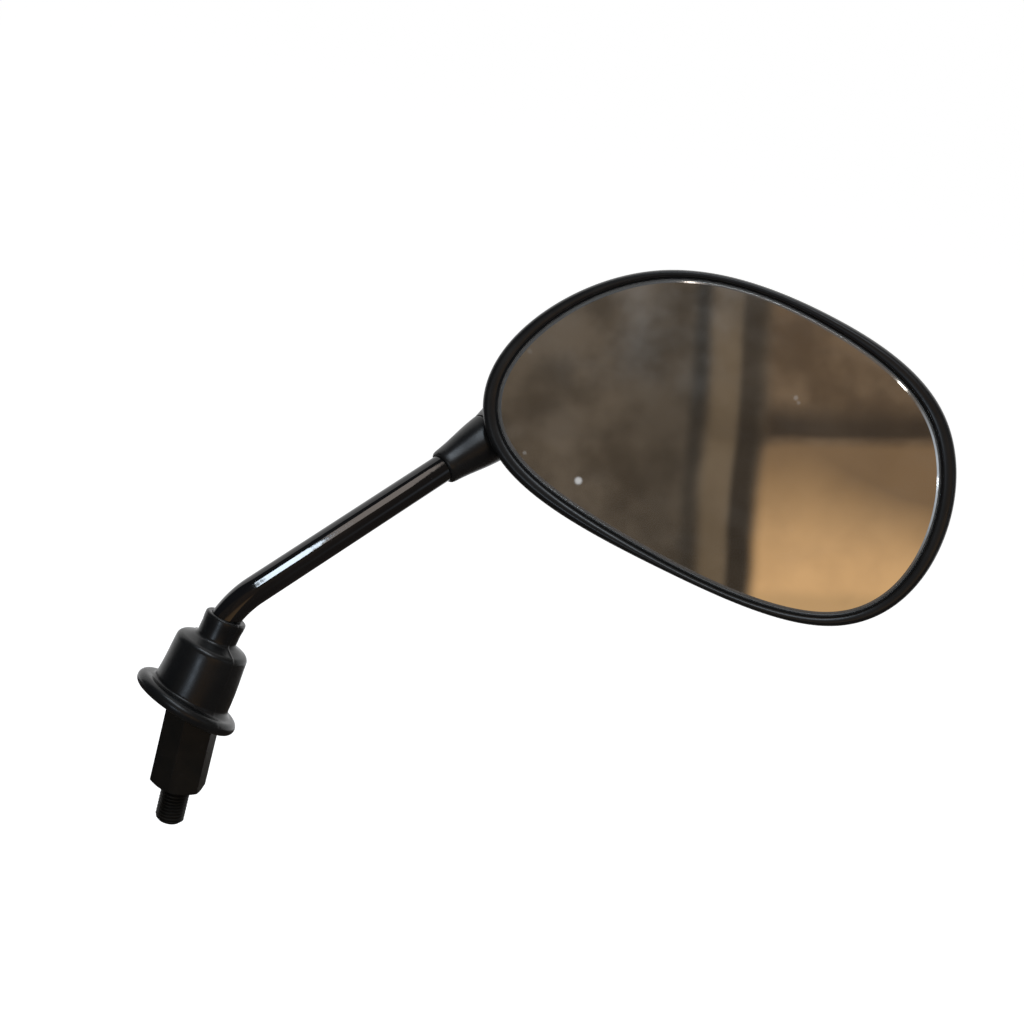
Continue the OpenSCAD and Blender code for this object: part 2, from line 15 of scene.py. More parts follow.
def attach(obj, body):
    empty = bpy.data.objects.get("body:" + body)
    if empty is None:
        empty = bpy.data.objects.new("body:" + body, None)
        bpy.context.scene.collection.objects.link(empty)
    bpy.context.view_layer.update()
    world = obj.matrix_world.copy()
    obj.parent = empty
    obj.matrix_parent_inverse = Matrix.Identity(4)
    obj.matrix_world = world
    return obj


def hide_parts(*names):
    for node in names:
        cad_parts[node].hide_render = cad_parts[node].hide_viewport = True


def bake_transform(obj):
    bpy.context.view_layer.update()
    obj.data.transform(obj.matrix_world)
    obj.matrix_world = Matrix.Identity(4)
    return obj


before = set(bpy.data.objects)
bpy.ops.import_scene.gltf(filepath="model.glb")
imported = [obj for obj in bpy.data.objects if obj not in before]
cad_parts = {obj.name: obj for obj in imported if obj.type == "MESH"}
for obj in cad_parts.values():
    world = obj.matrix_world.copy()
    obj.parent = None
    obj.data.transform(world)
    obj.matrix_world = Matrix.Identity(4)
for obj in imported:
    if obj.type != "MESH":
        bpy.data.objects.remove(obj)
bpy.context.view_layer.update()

bl_info = {
    "name": "Motorcycle Mirror",
    "version": (1, 0, 0),
    "blender": (4, 5, 0),
    "location": "3D View > Sidebar > Mirror",
    "description": "Detailed pieces and finishes of a motorcycle mirror",
    "category": "Object",
}

# The photograph's camera, in metres, millimetres and degrees
CAMERA_SPOT = (0.086188, -0.593073, 0.292299)
CAMERA_LENS = 66.236
CAMERA_DOWN = 15.68
CAMERA_ROLL = 15.55

# Single specks of dust on the glass: place on the face, radius and share of the film
SPECKS = (
    (-0.0385, -0.0330, 0.0019, 0.66), (-0.0658, -0.0352, 0.0011, 0.24), (-0.0599, -0.0330, 0.0010, 0.16),
    (-0.0745, -0.0004, 0.0014, 0.07), (0.0154, 0.0269, 0.0013, 0.16), (0.0170, 0.0258, 0.0010, 0.12),
)

# Places of the plate's bosses, as shares of the head's half length and half height
BOSSES = ((0.62, 0.5), (-0.2, 0.7), (-0.05, -0.56), (0.62, -0.48))


# Sizes and colours
def length(name, description, default):
    return FloatProperty(name=name, description=description, default=default, unit="LENGTH", precision=5)


def turn(name, description, degrees):
    return FloatProperty(name=name, description=description, default=math.radians(degrees), subtype="ANGLE")


def tint(name, description, default):
    return FloatVectorProperty(
        name=name, description=description, default=default, size=3, subtype="COLOR", min=0.0, max=1.0
    )


def amount(name, description, default):
    return FloatProperty(name=name, description=description, default=default, min=0.0)


class AdapterSizes(bpy.types.PropertyGroup):
    """Sizes of the threaded adapter"""

    stud_radius: length("Stud radius", "Radius over the stud's thread", 0.005)
    stud_length: length("Stud length", "Length below the seat", 0.014)
    stud_chamfer: length("Stud chamfer", "Chamfer at the stud's tip", 0.0012)
    relief: length("Relief", "Length of the undercut above the thread", 0.0015)
    across_flats: length("Across flats", "Size of the hexagon", 0.017)
    height: length("Height", "Length of the hexagon", 0.031)
    hex_turn: turn("Hexagon turn", "Turn of the hexagon about the stud", 25)
    socket_depth: length("Socket depth", "Depth of the threaded socket", 0.014)
    pitch: length("Thread pitch", "Pitch of the stud and of the stem's thread", 0.00125)
    thread_depth: length("Thread depth", "Depth of the thread", 0.00075)
    edge_round: length("Edge rounding", "Rounding of the hexagon's edges", 0.00035)


class StemSizes(bpy.types.PropertyGroup):
    """Sizes of the bent rod"""

    rod_radius: length("Rod radius", "Radius of the rod", 0.005)
    bottom: length("Lower end", "Height of the rod's lower end", 0.0195)
    rise: length("Rise", "Height at which the bend starts", 0.048)
    bend_radius: length("Bend radius", "Radius of the bend's centreline", 0.030)
    bend_angle: turn("Bend", "Angle of the bend", 55)
    bend_azimuth: turn("Bend azimuth", "Direction of the bend", 43)
    arm_length: length("Arm", "From the end of the bend to the ball's centre", 0.113)
    shoulder_back: length("Shoulder", "From the ball's centre back to the shoulder", 0.0105)
    neck_radius: length("Neck radius", "Radius of the turned neck", 0.004)
    spigot_radius: length("Spigot radius", "Radius of the spigot in the ball", 0.0025)
    thread_top: length("Thread top", "Height at which the stem's thread ends", 0.0395)


class BootSizes(bpy.types.PropertyGroup):
    """Sizes of the rubber boot"""

    brim_radius: length("Brim radius", "Outer radius of the brim", 0.019)
    brim_thickness: length("Brim thickness", "Thickness of the brim", 0.0048)
    brim_lean: turn("Brim lean", "Lean of the brim past the body", 9)
    brim_fillet: length("Brim fillet", "Radius between the brim and the body", 0.0020)
    body_radius: length("Body radius", "Radius of the body at the brim", 0.014)
    top_radius: length("Top radius", "Radius of the body at its shoulder", 0.0128)
    body_height: length("Body height", "Height of the body above the brim's middle", 0.0227)
    shoulder_round: length("Shoulder rounding", "Rounding of the shoulder", 0.0024)
    shoulder_rise: length("Shoulder rise", "Rise of the top towards the collar", 0.0014)
    collar_radius: length("Collar radius", "Radius of the collar", 0.0070)
    collar_height: length("Collar height", "Height of the collar", 0.010)
    collar_bead: length("Collar bead", "Swelling of the collar near its rim", 0.0002)
    wall: length("Wall", "Thickness of the rubber", 0.002)
    mouth_radius: length("Mouth radius", "Radius of the open mouth", 0.0142)
    lean: turn("Lean", "Lean of the boot from the stud's axis", 13.2)
    lean_azimuth: turn("Lean azimuth", "Direction in which the boot leans", 36)
    grip: turn("Grip", "Angle along the bend at the collar's rim", 30)


class HeadSizes(bpy.types.PropertyGroup):
    """Sizes and placing of the mirror head"""

    span: length("Length", "Length along the long axis", 0.168)
    height: length("Height", "Height across the long axis", 0.106)
    depth: length("Depth", "Depth of the housing behind the rim", 0.046)
    pitch: turn("Pitch", "Tilt of the face upwards", 12)
    yaw: turn("Yaw", "Turn of the face, outboard positive", -5.7)
    roll: turn("Roll", "Droop of the long axis", -10.3)
    ball_x: length("Ball along", "Ball's place along the long axis", -0.071)
    ball_y: length("Ball across", "Ball's place across the long axis", -0.027)
    ball_z: length("Ball depth", "Ball's place behind the rim", -0.021)
    dome_power: amount("Dome fullness", "Exponent of the dome's section", 2.9)
    wall: length("Wall", "Thickness of the housing", 0.0022)
    belt: length("Belt", "Depth at which the housing is widest", 0.005)
    lip_width: length("Lip width", "Mean width of the rounded rim", 0.0036)
    lip_swell: length("Lip swell", "Extra width of the rim at its wide places", 0.0012)
    lip_turn: turn("Lip turn", "Direction of the rim's wide places", 25)
    lip_step: length("Lip step", "Depth of the step inside the rim", 0.0012)
    lip_level: length("Lip level", "Fall of the glass at which the lip starts to follow it", 0.0006)
    boss_radius: length("Boss radius", "Radius of the bosses", 0.0034)


class JointSizes(bpy.types.PropertyGroup):
    """Sizes of the socket and of the gaiter over it"""

    socket_radius: length("Socket radius", "Radius of the spherical seat in the housing", 0.00805)
    bore_radius: length("Bore radius", "Radius of the bore behind the ball", 0.0091)
    tube_radius: length("Tube radius", "Outer radius of the socket tube", 0.011)
    tube_length: length("Tube length", "Length of the tube past the ball", 0.016)
    neck_face: length("Neck face", "From the ball back to the neck's face", 0.0095)
    opening_radius: length("Opening radius", "Opening at the neck's face", 0.008)
    mouth_radius: length("Mouth radius", "Opening at the ball", 0.00583)
    hump_radius: length("Hump radius", "Radius of the housing's swelling over the tube", 0.0119)
    fillet: length("Fillet", "Softness of the swelling's foot", 0.007)
    gaiter_root: length("Gaiter root", "Gaiter's radius at the housing", 0.0092)
    gaiter_tip: length("Gaiter tip", "Gaiter's radius at its small end", 0.0063)
    gaiter_length: length("Gaiter length", "Length of the gaiter", 0.022)
    gaiter_wall: length("Gaiter wall", "Thickness of the gaiter past its grip on the rod", 0.00065)
    gaiter_wide_end: length("Gaiter wide end", "Length of the part that follows the head", 0.00425)


class MirrorSizes(bpy.types.PropertyGroup):
    """Sizes of the convex mirror and of what holds it"""

    curve: length("Curve", "Radius of the convex face", 1.2)
    recess: length("Recess", "Depth of the crown behind the rim", 0.0004)
    thickness: length("Thickness", "Thickness of the glass", 0.002)
    bevel_width: length("Bevel width", "Width of the ground bevel", 0.0015)
    bevel_depth: length("Bevel depth", "Depth of the ground bevel", 0.0008)
    pad: length("Pad", "Thickness of the foam pad", 0.0008)
    plate: length("Plate", "Thickness of the backing plate", 0.0016)
    seal: length("Seal", "Width of the rubber seal", 0.0006)
    screw_radius: length("Screw radius", "Radius of the plate's screws", 0.0015)
    screw_length: length("Screw length", "Length of the plate's screws", 0.008)
    mist: FloatVectorProperty(
        name="Mist", description="Middle of the hazy part of the face", default=(-0.042, 0.040),
        size=2, unit="LENGTH", precision=5,
    )


class FinishColours(bpy.types.PropertyGroup):
    """Colours of the finishes"""

    paint: tint("Paint", "Gloss black paint of the rod", (0.0040, 0.0040, 0.0044))
    rubber: tint("Rubber", "Moulded rubber", (0.0042, 0.0044, 0.0048))
    plastic: tint("Plastic", "Moulded plastic of the housing", (0.0050, 0.0052, 0.0056))
    black_steel: tint("Black steel", "Blackened steel of the adapter", (0.0095, 0.0092, 0.0080))
    zinc: tint("Zinc", "Zinc plated steel", (0.52, 0.53, 0.54))
    spring: tint("Spring steel", "Oiled spring steel", (0.24, 0.24, 0.26))
    nylon: tint("Nylon", "Natural nylon", (0.66, 0.64, 0.56))
    plate: tint("Plate", "Black plate plastic", (0.02, 0.02, 0.02))
    foam: tint("Foam", "Grey foam tape", (0.09, 0.09, 0.09))
    silver: tint("Silver", "Silvering of the mirror", (0.62, 0.61, 0.59))
    dust: tint("Dust", "Dust on the surfaces", (0.34, 0.31, 0.27))
    film: tint("Film", "Film of dust on the glass", (0.74, 0.72, 0.69))


class StageSettings(bpy.types.PropertyGroup):
    """Floor, light and camera"""

    floor_drop: length("Floor drop", "Distance of the floor below the stud's tip", 0.10)
    floor_colour: tint("Floor", "Colour of the floor", (0.80, 0.80, 0.80))
    ambient: amount("Ambient", "Strength of the ambient light", 0.60)
    key_power: amount("Key", "Watts of the cool overhead softbox", 5.0)
    warm_power: amount("Warm", "Watts of the warm softbox beside it", 1.0)
    boot_power: amount("Boot light", "Watts of the low lamp at the left", 1.2)
    edge_power: amount("Edge", "Watts of the small lamp at the right", 0.06)
    corner_power: amount("Corner", "Watts of the small lamp at the upper right", 0.08)
    card_level: amount("Card", "Brightness of the pale card at the right", 0.9)
    room_level: amount("Room", "Brightness of the dim screen behind the camera", 1.0)
    tent_level: amount("Tent", "Brightness of the dark surround", 1.0)


GROUPS = {
    "mirror_adapter": AdapterSizes,
    "mirror_stem": StemSizes,
    "mirror_boot": BootSizes,
    "mirror_head": HeadSizes,
    "mirror_joint": JointSizes,
    "mirror_glass": MirrorSizes,
    "mirror_colours": FinishColours,
    "mirror_stage": StageSettings,
}


# Frames of the pieces
def turned(axis, angle):
    return Matrix.Rotation(angle, 4, axis)


def bend_point(stem, angle):
    out = stem.bend_radius * (1 - math.cos(angle))
    return Vector((
        out * math.cos(stem.bend_azimuth),
        out * math.sin(stem.bend_azimuth),
        stem.rise + stem.bend_radius * math.sin(angle),
    ))


def arm_direction(stem):
    flat = math.sin(stem.bend_angle)
    return Vector((
        flat * math.cos(stem.bend_azimuth), flat * math.sin(stem.bend_azimuth), math.cos(stem.bend_angle)
    ))


def ball_centre(stem):
    return bend_point(stem, stem.bend_angle) + stem.arm_length * arm_direction(stem)


def arm_frame(stem):
    """Centre of the ball, with z along the arm."""
    return (
        Matrix.Translation(ball_centre(stem))
        @ turned("Z", stem.bend_azimuth)
        @ turned("Y", stem.bend_angle)
    )


def head_frame(stem, head):
    """Middle of the face, with z along its normal and x along the long axis."""
    return (
        Matrix.Translation(ball_centre(stem))
        @ turned("Z", head.yaw)
        @ turned("X", math.radians(90) - head.pitch)
        @ turned("Z", head.roll)
        @ Matrix.Translation((-head.ball_x, -head.ball_y, -head.ball_z))
    )


def boot_frame(stem, boot):
    """Middle of the boot's brim, with z along the body."""
    return (
        Matrix.Translation(bend_point(stem, boot.grip))
        @ turned("Z", boot.lean_azimuth)
        @ turned("Y", boot.lean)
        @ Matrix.Translation((0, 0, -boot.collar_height - boot.body_height))
    )


# Meshes
def skin(rings, start=None, end=None):
    """Points and faces between rings of equal count, closed by a point at either end."""
    count = len(rings[0])
    points = [tuple(p) for ring in rings for p in ring]
    faces = []
    for j in range(len(rings) - 1):
        for k in range(count):
            a, b = j * count + k, j * count + (k + 1) % count
            faces.append((a, b, b + count, a + count))
    for tip, row in ((start, 0), (end, len(rings) - 1)):
        if tip is not None:
            points.append(tuple(tip))
            for k in range(count):
                faces.append((row * count + k, row * count + (k + 1) % count, len(points) - 1))
    return points, faces


def object_from(name, points, faces, finishes, place=None, sharp=40.0):
    """A closed piece with its place in its mesh, outward faces and sharp edges by angle."""
    mesh = bpy.data.meshes.new(name)
    mesh.from_pydata(points, [], faces)
    work = bmesh.new()
    work.from_mesh(mesh)
    bmesh.ops.remove_doubles(work, verts=work.verts, dist=1e-7)
    bmesh.ops.dissolve_degenerate(work, edges=work.edges, dist=1e-8)
    bmesh.ops.recalc_face_normals(work, faces=work.faces)
    work.to_mesh(mesh)
    work.free()
    if place is not None:
        mesh.transform(place)
    made = bpy.data.objects.new(name, mesh)
    bpy.context.scene.collection.objects.link(made)
    for finish in finishes:
        mesh.materials.append(finish)
    soften(made, sharp)
    return made


def soften(piece, sharp):
    piece.data.shade_smooth()
    piece.data.set_sharp_from_angle(angle=math.radians(sharp))


def settle(piece):
    """Turns the modified result into the piece's own plain mesh."""
    bpy.context.view_layer.update()
    graph = bpy.context.evaluated_depsgraph_get()
    mesh = bpy.data.meshes.new_from_object(
        piece.evaluated_get(graph), preserve_all_data_layers=True, depsgraph=graph
    )
    piece.modifiers.clear()
    piece.data = mesh
    mesh.name = piece.name
    return piece


def combine(piece, tools, operation):
    """Joins or cuts solids, which are then removed."""
    for tool in tools:
        change = piece.modifiers.new(operation, "BOOLEAN")
        change.object = tool
        change.operation = operation
        change.solver = "EXACT"
    settle(piece)
    for tool in tools:
        bpy.data.objects.remove(tool)
    return piece


def round_rings(profile, around):
    """Rings of points from (radius, height) pairs."""
    angles = [2 * math.pi * k / around for k in range(around)]
    return [[(r * math.cos(a), r * math.sin(a), z) for a in angles] for r, z in profile]


def drum(name, place, profile, around=64):
    """A turned solid from (radius, height) pairs, closed at both ends."""
    points, faces = skin(round_rings(profile, around), (0, 0, profile[0][1]), (0, 0, profile[-1][1]))
    return object_from(name, points, faces, [], place)


def arc(centre, radius, first, last, steps):
    """Points of an arc as (radius, height) pairs; angles in degrees."""
    angles = [math.radians(first + (last - first) * i / steps) for i in range(steps + 1)]
    return [(centre[0] + radius * math.cos(a), centre[1] + radius * math.sin(a)) for a in angles]


def present(piece, body, slot_name, *nodes):
    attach(piece, body)
    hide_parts(*nodes)


# Geometry node trees
class Graph:
    """Adds nodes to a tree and links them."""

    def __init__(self, tree):
        self.tree = tree

    def node(self, kind, *inputs, **settings):
        made = self.tree.nodes.new(kind)
        for key, value in settings.items():
            setattr(made, key, value)
        for index, value in enumerate(inputs):
            if value is not None:
                self.feed(made.inputs[index], value)
        return made

    def feed(self, socket, value):
        if isinstance(value, bpy.types.NodeSocket):
            self.tree.links.new(value, socket)
        else:
            socket.default_value = value

    def math(self, operation, *inputs):
        return self.node("ShaderNodeMath", *inputs, operation=operation).outputs[0]

    def spread(self, value, low, high, out_low=0.0, out_high=1.0, smooth=False):
        made = self.node(
            "ShaderNodeMapRange", value, low, high, out_low, out_high,
            clamp=True, interpolation_type="SMOOTHSTEP" if smooth else "LINEAR",
        )
        return made.outputs[0]

    def blend(self, share, first, second):
        made = self.node("ShaderNodeMix", data_type="RGBA")
        self.feed(made.inputs["Factor"], share)
        for socket, value in ((made.inputs[6], first), (made.inputs[7], second)):
            self.feed(socket, value if isinstance(value, bpy.types.NodeSocket) else (*value[:3], 1.0))
        return made.outputs[2]


def geometry_tree(name, inputs):
    """A new tree with its named inputs, each (name, socket type, default)."""
    tree = bpy.data.node_groups.new(name, "GeometryNodeTree")
    tree.interface.new_socket("Geometry", in_out="INPUT", socket_type="NodeSocketGeometry")
    for label, kind, default in inputs:
        socket = tree.interface.new_socket(label, in_out="INPUT", socket_type=kind)
        if default is not None:
            socket.default_value = default
    tree.interface.new_socket("Geometry", in_out="OUTPUT", socket_type="NodeSocketGeometry")
    return tree, Graph(tree), tree.nodes.new("NodeGroupInput")


def close_tree(graph, geometry, material):
    dressed = graph.node("GeometryNodeSetMaterial", geometry, None, material).outputs[0]
    real = graph.node("GeometryNodeRealizeInstances", dressed).outputs[0]
    graph.node("NodeGroupOutput", real)


def thread_tree():
    """A screw thread that stands on z = 0, with its chamfered tip there."""
    tree, g, given = geometry_tree("Screw thread", [
        ("Radius", "NodeSocketFloat", 0.005),
        ("Pitch", "NodeSocketFloat", 0.00125),
        ("Depth", "NodeSocketFloat", 0.00075),
        ("Turns", "NodeSocketInt", 10),
        ("Chamfer", "NodeSocketFloat", 0.0012),
        ("Columns", "NodeSocketInt", 64),
        ("Material", "NodeSocketMaterial", None),
    ])
    get = given.outputs
    rows_per_turn = 16
    turns_more = g.math("ADD", get["Turns"], 1.0)
    rows = g.math("ADD", g.math("MULTIPLY", turns_more, float(rows_per_turn)), 1.0)
    grid = g.node("GeometryNodeMeshGrid", 1.0, 1.0, g.math("ADD", get["Columns"], 1.0), rows)
    place = g.node("ShaderNodeSeparateXYZ", g.node("GeometryNodeInputPosition").outputs[0])
    share = g.math("ADD", place.outputs["X"], 0.5)
    climb = g.math("ADD", place.outputs["Y"], 0.5)
    gone = g.math("SUBTRACT", g.math("ADD", g.math("MULTIPLY", climb, turns_more), share), 1.0)
    raw = g.math("MULTIPLY", gone, get["Pitch"])
    top = g.math("MULTIPLY", get["Turns"], get["Pitch"])
    height = g.math("MAXIMUM", g.math("MINIMUM", raw, top), 0.0)
    lag = g.math("SUBTRACT", g.math("DIVIDE", height, get["Pitch"]), share)
    phase = g.math("FRACT", g.math("ADD", lag, 1.00001))
    wave = g.math("ABSOLUTE", g.math("SUBTRACT", g.math("MULTIPLY", phase, 2.0), 1.0))
    flank = g.node("ShaderNodeMapRange", wave, 0.25, 0.875, 0.0, 1.0, clamp=True).outputs[0]
    groove = g.math("MULTIPLY", g.math("SUBTRACT", 1.0, flank), get["Depth"])
    ridge = g.math("SUBTRACT", get["Radius"], groove)
    cone = g.math("ADD", g.math("SUBTRACT", get["Radius"], get["Chamfer"]), height)
    girth = g.math("MINIMUM", ridge, cone)
    inner = g.math("COMPARE", climb, 0.5, 0.49999)
    girth = g.math("MULTIPLY", girth, inner)
    angle = g.math("MULTIPLY", share, 2 * math.pi)
    spot = g.node(
        "ShaderNodeCombineXYZ",
        g.math("MULTIPLY", girth, g.math("COSINE", angle)),
        g.math("MULTIPLY", girth, g.math("SINE", angle)),
        height,
    )
    wound = g.node("GeometryNodeSetPosition", grid.outputs["Mesh"], None, spot.outputs[0])
    merged = g.node("GeometryNodeMergeByDistance", wound.outputs[0])
    merged.inputs["Distance"].default_value = 2e-6
    close_tree(g, merged.outputs[0], get["Material"])
    return tree


def sweep_tree():
    """A round bar along a path whose points carry the girth attribute."""
    tree, g, given = geometry_tree("Swept bar", [
        ("Segments", "NodeSocketInt", 64),
        ("Material", "NodeSocketMaterial", None),
    ])
    path = g.node("GeometryNodeMeshToCurve", given.outputs["Geometry"]).outputs[0]
    girth = g.node("GeometryNodeInputNamedAttribute", "girth", data_type="FLOAT").outputs[0]
    round_section = g.node("GeometryNodeCurvePrimitiveCircle", given.outputs["Segments"]).outputs[0]
    bar = g.node("GeometryNodeCurveToMesh", path, round_section, girth)
    bar.inputs["Fill Caps"].default_value = True
    close_tree(g, bar.outputs[0], given.outputs["Material"])
    return tree


def strip_tree():
    """A flat-sided strip along a closed path, such as a seal in its groove."""
    tree, g, given = geometry_tree("Strip along a path", [
        ("Width", "NodeSocketFloat", 0.0005),
        ("Height", "NodeSocketFloat", 0.002),
        ("Rounding", "NodeSocketFloat", 0.0001),
        ("Material", "NodeSocketMaterial", None),
    ])
    get = given.outputs
    path = g.node("GeometryNodeMeshToCurve", get["Geometry"]).outputs[0]
    upright = g.node("GeometryNodeSetCurveNormal", path, mode="Z_UP").outputs[0]
    section = g.node("GeometryNodeCurvePrimitiveQuadrilateral", get["Width"], get["Height"]).outputs[0]
    rounded = g.node("GeometryNodeFilletCurve", section, mode="POLY")
    rounded.inputs["Count"].default_value = 3
    g.feed(rounded.inputs["Radius"], get["Rounding"])
    strip = g.node("GeometryNodeCurveToMesh", upright, rounded.outputs[0])
    close_tree(g, strip.outputs[0], get["Material"])
    return tree


def grow(name, path_mesh, tree, values, place=None, sharp=40.0):
    """Runs a geometry node tree on a path and keeps its plain mesh."""
    piece = bpy.data.objects.new(name, path_mesh)
    bpy.context.scene.collection.objects.link(piece)
    change = piece.modifiers.new(tree.name, "NODES")
    change.node_group = tree
    for item in tree.interface.items_tree:
        if item.item_type == "SOCKET" and item.in_out == "INPUT" and item.name in values:
            change[item.identifier] = values[item.name]
    settle(piece)
    work = bmesh.new()
    work.from_mesh(piece.data)
    bmesh.ops.remove_doubles(work, verts=work.verts, dist=1e-7)
    bmesh.ops.holes_fill(work, edges=[e for e in work.edges if e.is_boundary], sides=4)
    bmesh.ops.recalc_face_normals(work, faces=work.faces)
    work.to_mesh(piece.data)
    work.free()
    if place is not None:
        piece.data.transform(place)
    soften(piece, sharp)
    return piece


def path_mesh(name, points, girths=None, closed=False):
    mesh = bpy.data.meshes.new(name)
    edges = [(i, i + 1) for i in range(len(points) - 1)]
    if closed:
        edges.append((len(points) - 1, 0))
    mesh.from_pydata([tuple(p) for p in points], edges, [])
    if girths is not None:
        girth = mesh.attributes.new("girth", "FLOAT", "POINT")
        girth.data.foreach_set("value", [float(v) for v in girths])
    return mesh


def bare_mesh(name):
    return bpy.data.meshes.new(name)


# Finishes
class Finish(Graph):
    """A procedural material on the piece's own coordinates."""

    def __init__(self, name, colour, roughness, metallic=0.0, specular=0.5):
        self.material = bpy.data.materials.new(name)
        self.material.use_nodes = True
        super().__init__(self.material.node_tree)
        self.shader = self.tree.nodes["Principled BSDF"]
        self.shader.inputs["Base Color"].default_value = (*colour, 1.0)
        self.shader.inputs["Roughness"].default_value = roughness
        self.shader.inputs["Metallic"].default_value = metallic
        self.shader.inputs["Specular IOR Level"].default_value = specular
        self.place = self.node("ShaderNodeTexCoord").outputs["Object"]
        self.normal = None

    def stretched(self, scale, angles=(0.0, 0.0, 0.0)):
        made = self.node("ShaderNodeMapping", self.place)
        made.inputs["Scale"].default_value = scale
        made.inputs["Rotation"].default_value = angles
        return made.outputs[0]

    def noise(self, scale, detail=3.0, rough=0.55, place=None):
        made = self.node("ShaderNodeTexNoise", place or self.place)
        made.inputs["Scale"].default_value = scale
        made.inputs["Detail"].default_value = detail
        made.inputs["Roughness"].default_value = rough
        return made.outputs["Fac"]

    def cells(self, scale, feature="F1"):
        made = self.node("ShaderNodeTexVoronoi", self.place, feature=feature)
        made.inputs["Scale"].default_value = scale
        return made.outputs["Distance"]

    def bump(self, height, distance, strength=1.0):
        made = self.node("ShaderNodeBump")
        made.inputs["Distance"].default_value = distance
        made.inputs["Strength"].default_value = strength
        self.feed(made.inputs["Height"], height)
        if self.normal is not None:
            self.feed(made.inputs["Normal"], self.normal)
        self.normal = made.outputs[0]

    def done(self, colour=None, roughness=None, metallic=None):
        given = {"Base Color": colour, "Roughness": roughness, "Metallic": metallic, "Normal": self.normal}
        for name, value in given.items():
            if value is not None:
                self.feed(self.shader.inputs[name], value)
        return self.material


def gloss_paint(colours):
    """Gloss black paint with orange peel, fine rubs and a thin film of dust."""
    f = Finish("Gloss black paint", colours.paint, 0.06)
    along_arm = f.stretched((900.0, 900.0, 60.0), (0.0, math.radians(35), math.radians(43)))
    rubs = f.noise(1.0, 2.0, 0.5, along_arm)
    cloudy = f.noise(45.0, 4.0)
    rough = f.math("ADD", f.spread(cloudy, 0.3, 0.7, 0.045, 0.075), f.spread(rubs, 0.55, 0.8, 0.0, 0.03))
    film = f.spread(f.noise(30.0, 5.0), 0.5, 0.9, 0.0, 0.015)
    f.bump(f.noise(420.0, 2.0), 0.000006)
    f.bump(f.noise(130.0, 2.0), 0.000022)
    f.bump(rubs, 0.000002)
    return f.done(f.blend(film, colours.paint, colours.dust), rough)


def moulded_rubber(colours):
    """Satin black rubber with a fine grain and a faint bloom in patches."""
    f = Finish("Moulded rubber", colours.rubber, 0.3, specular=0.3)
    grain = f.noise(2600.0, 2.0, 0.6)
    bloom = f.spread(f.noise(70.0, 5.0, 0.6), 0.42, 0.85, 0.0, 0.012)
    uneven = f.spread(f.noise(120.0, 3.0), 0.3, 0.7, 0.26, 0.34)
    rough = f.math("ADD", uneven, f.spread(grain, 0.3, 0.7, 0.0, 0.04))
    f.bump(grain, 0.000018)
    f.bump(f.noise(160.0, 3.0), 0.00005)
    return f.done(f.blend(bloom, colours.rubber, colours.dust), rough)


def moulded_plastic(colours):
    """Satin black plastic with a spark-eroded grain, flow variation and light scuffs."""
    f = Finish("Moulded plastic", colours.plastic, 0.35, specular=0.35)
    grain = f.cells(2300.0, "SMOOTH_F1")
    flow = f.noise(25.0, 4.0, 0.5, f.stretched((1.0, 1.0, 2.5)))
    scuffs = f.noise(1.0, 3.0, 0.6, f.stretched((500.0, 70.0, 240.0), (0.3, 0.2, 0.5)))
    rough = f.math("ADD", f.spread(flow, 0.3, 0.7, 0.30, 0.37), f.spread(scuffs, 0.62, 0.8, 0.0, 0.08))
    dusty = f.spread(f.noise(55.0, 6.0, 0.62), 0.5, 0.85, 0.0, 0.015)
    f.bump(grain, 0.000014)
    f.bump(f.noise(90.0, 2.0), 0.00004)
    return f.done(f.blend(dusty, colours.plastic, colours.dust), rough)


def black_steel(colours):
    """Blackened steel with a brown cast, turning marks and rubbed places."""
    f = Finish("Blackened steel", colours.black_steel, 0.5, metallic=0.55)
    marks = f.noise(1.0, 2.0, 0.5, f.stretched((180.0, 180.0, 5200.0)))
    cast = f.noise(140.0, 5.0, 0.6)
    worn = f.spread(f.noise(420.0, 5.0, 0.65), 0.6, 0.72, 0.0, 0.5)
    brown = [c * t for c, t in zip(colours.black_steel, (1.7, 1.3, 0.95))]
    rubbed = [c * 2.4 for c in colours.black_steel]
    base = f.blend(f.spread(cast, 0.35, 0.7, 0.0, 0.8), colours.black_steel, brown)
    rough = f.math("ADD", f.spread(cast, 0.3, 0.7, 0.42, 0.58), f.spread(marks, 0.3, 0.7, -0.04, 0.06))
    f.bump(marks, 0.00001)
    f.bump(f.noise(700.0, 3.0), 0.00002)
    return f.done(f.blend(worn, base, rubbed), rough)


def zinc_steel(colours):
    """Bright zinc plate with a faint spangle and tarnish."""
    f = Finish("Zinc plated steel", colours.zinc, 0.32, metallic=1.0)
    spangle = f.cells(700.0)
    tarnish = f.spread(f.noise(240.0, 4.0), 0.45, 0.75, 0.0, 0.45)
    dull = [c * 0.55 for c in colours.zinc]
    f.bump(f.noise(1600.0, 2.0), 0.00001)
    return f.done(f.blend(tarnish, colours.zinc, dull), f.spread(spangle, 0.0, 1.0, 0.26, 0.42))


def spring_steel(colours):
    """Dark oiled spring steel with fine turning marks."""
    f = Finish("Spring steel", colours.spring, 0.34, metallic=1.0)
    marks = f.noise(1.0, 2.0, 0.5, f.stretched((2600.0, 2600.0, 400.0)))
    oil = f.spread(f.noise(160.0, 4.0), 0.4, 0.7, 0.0, 0.6)
    dark = [c * 0.45 for c in colours.spring]
    f.bump(marks, 0.000008)
    return f.done(f.blend(oil, colours.spring, dark), f.spread(marks, 0.3, 0.7, 0.24, 0.40))


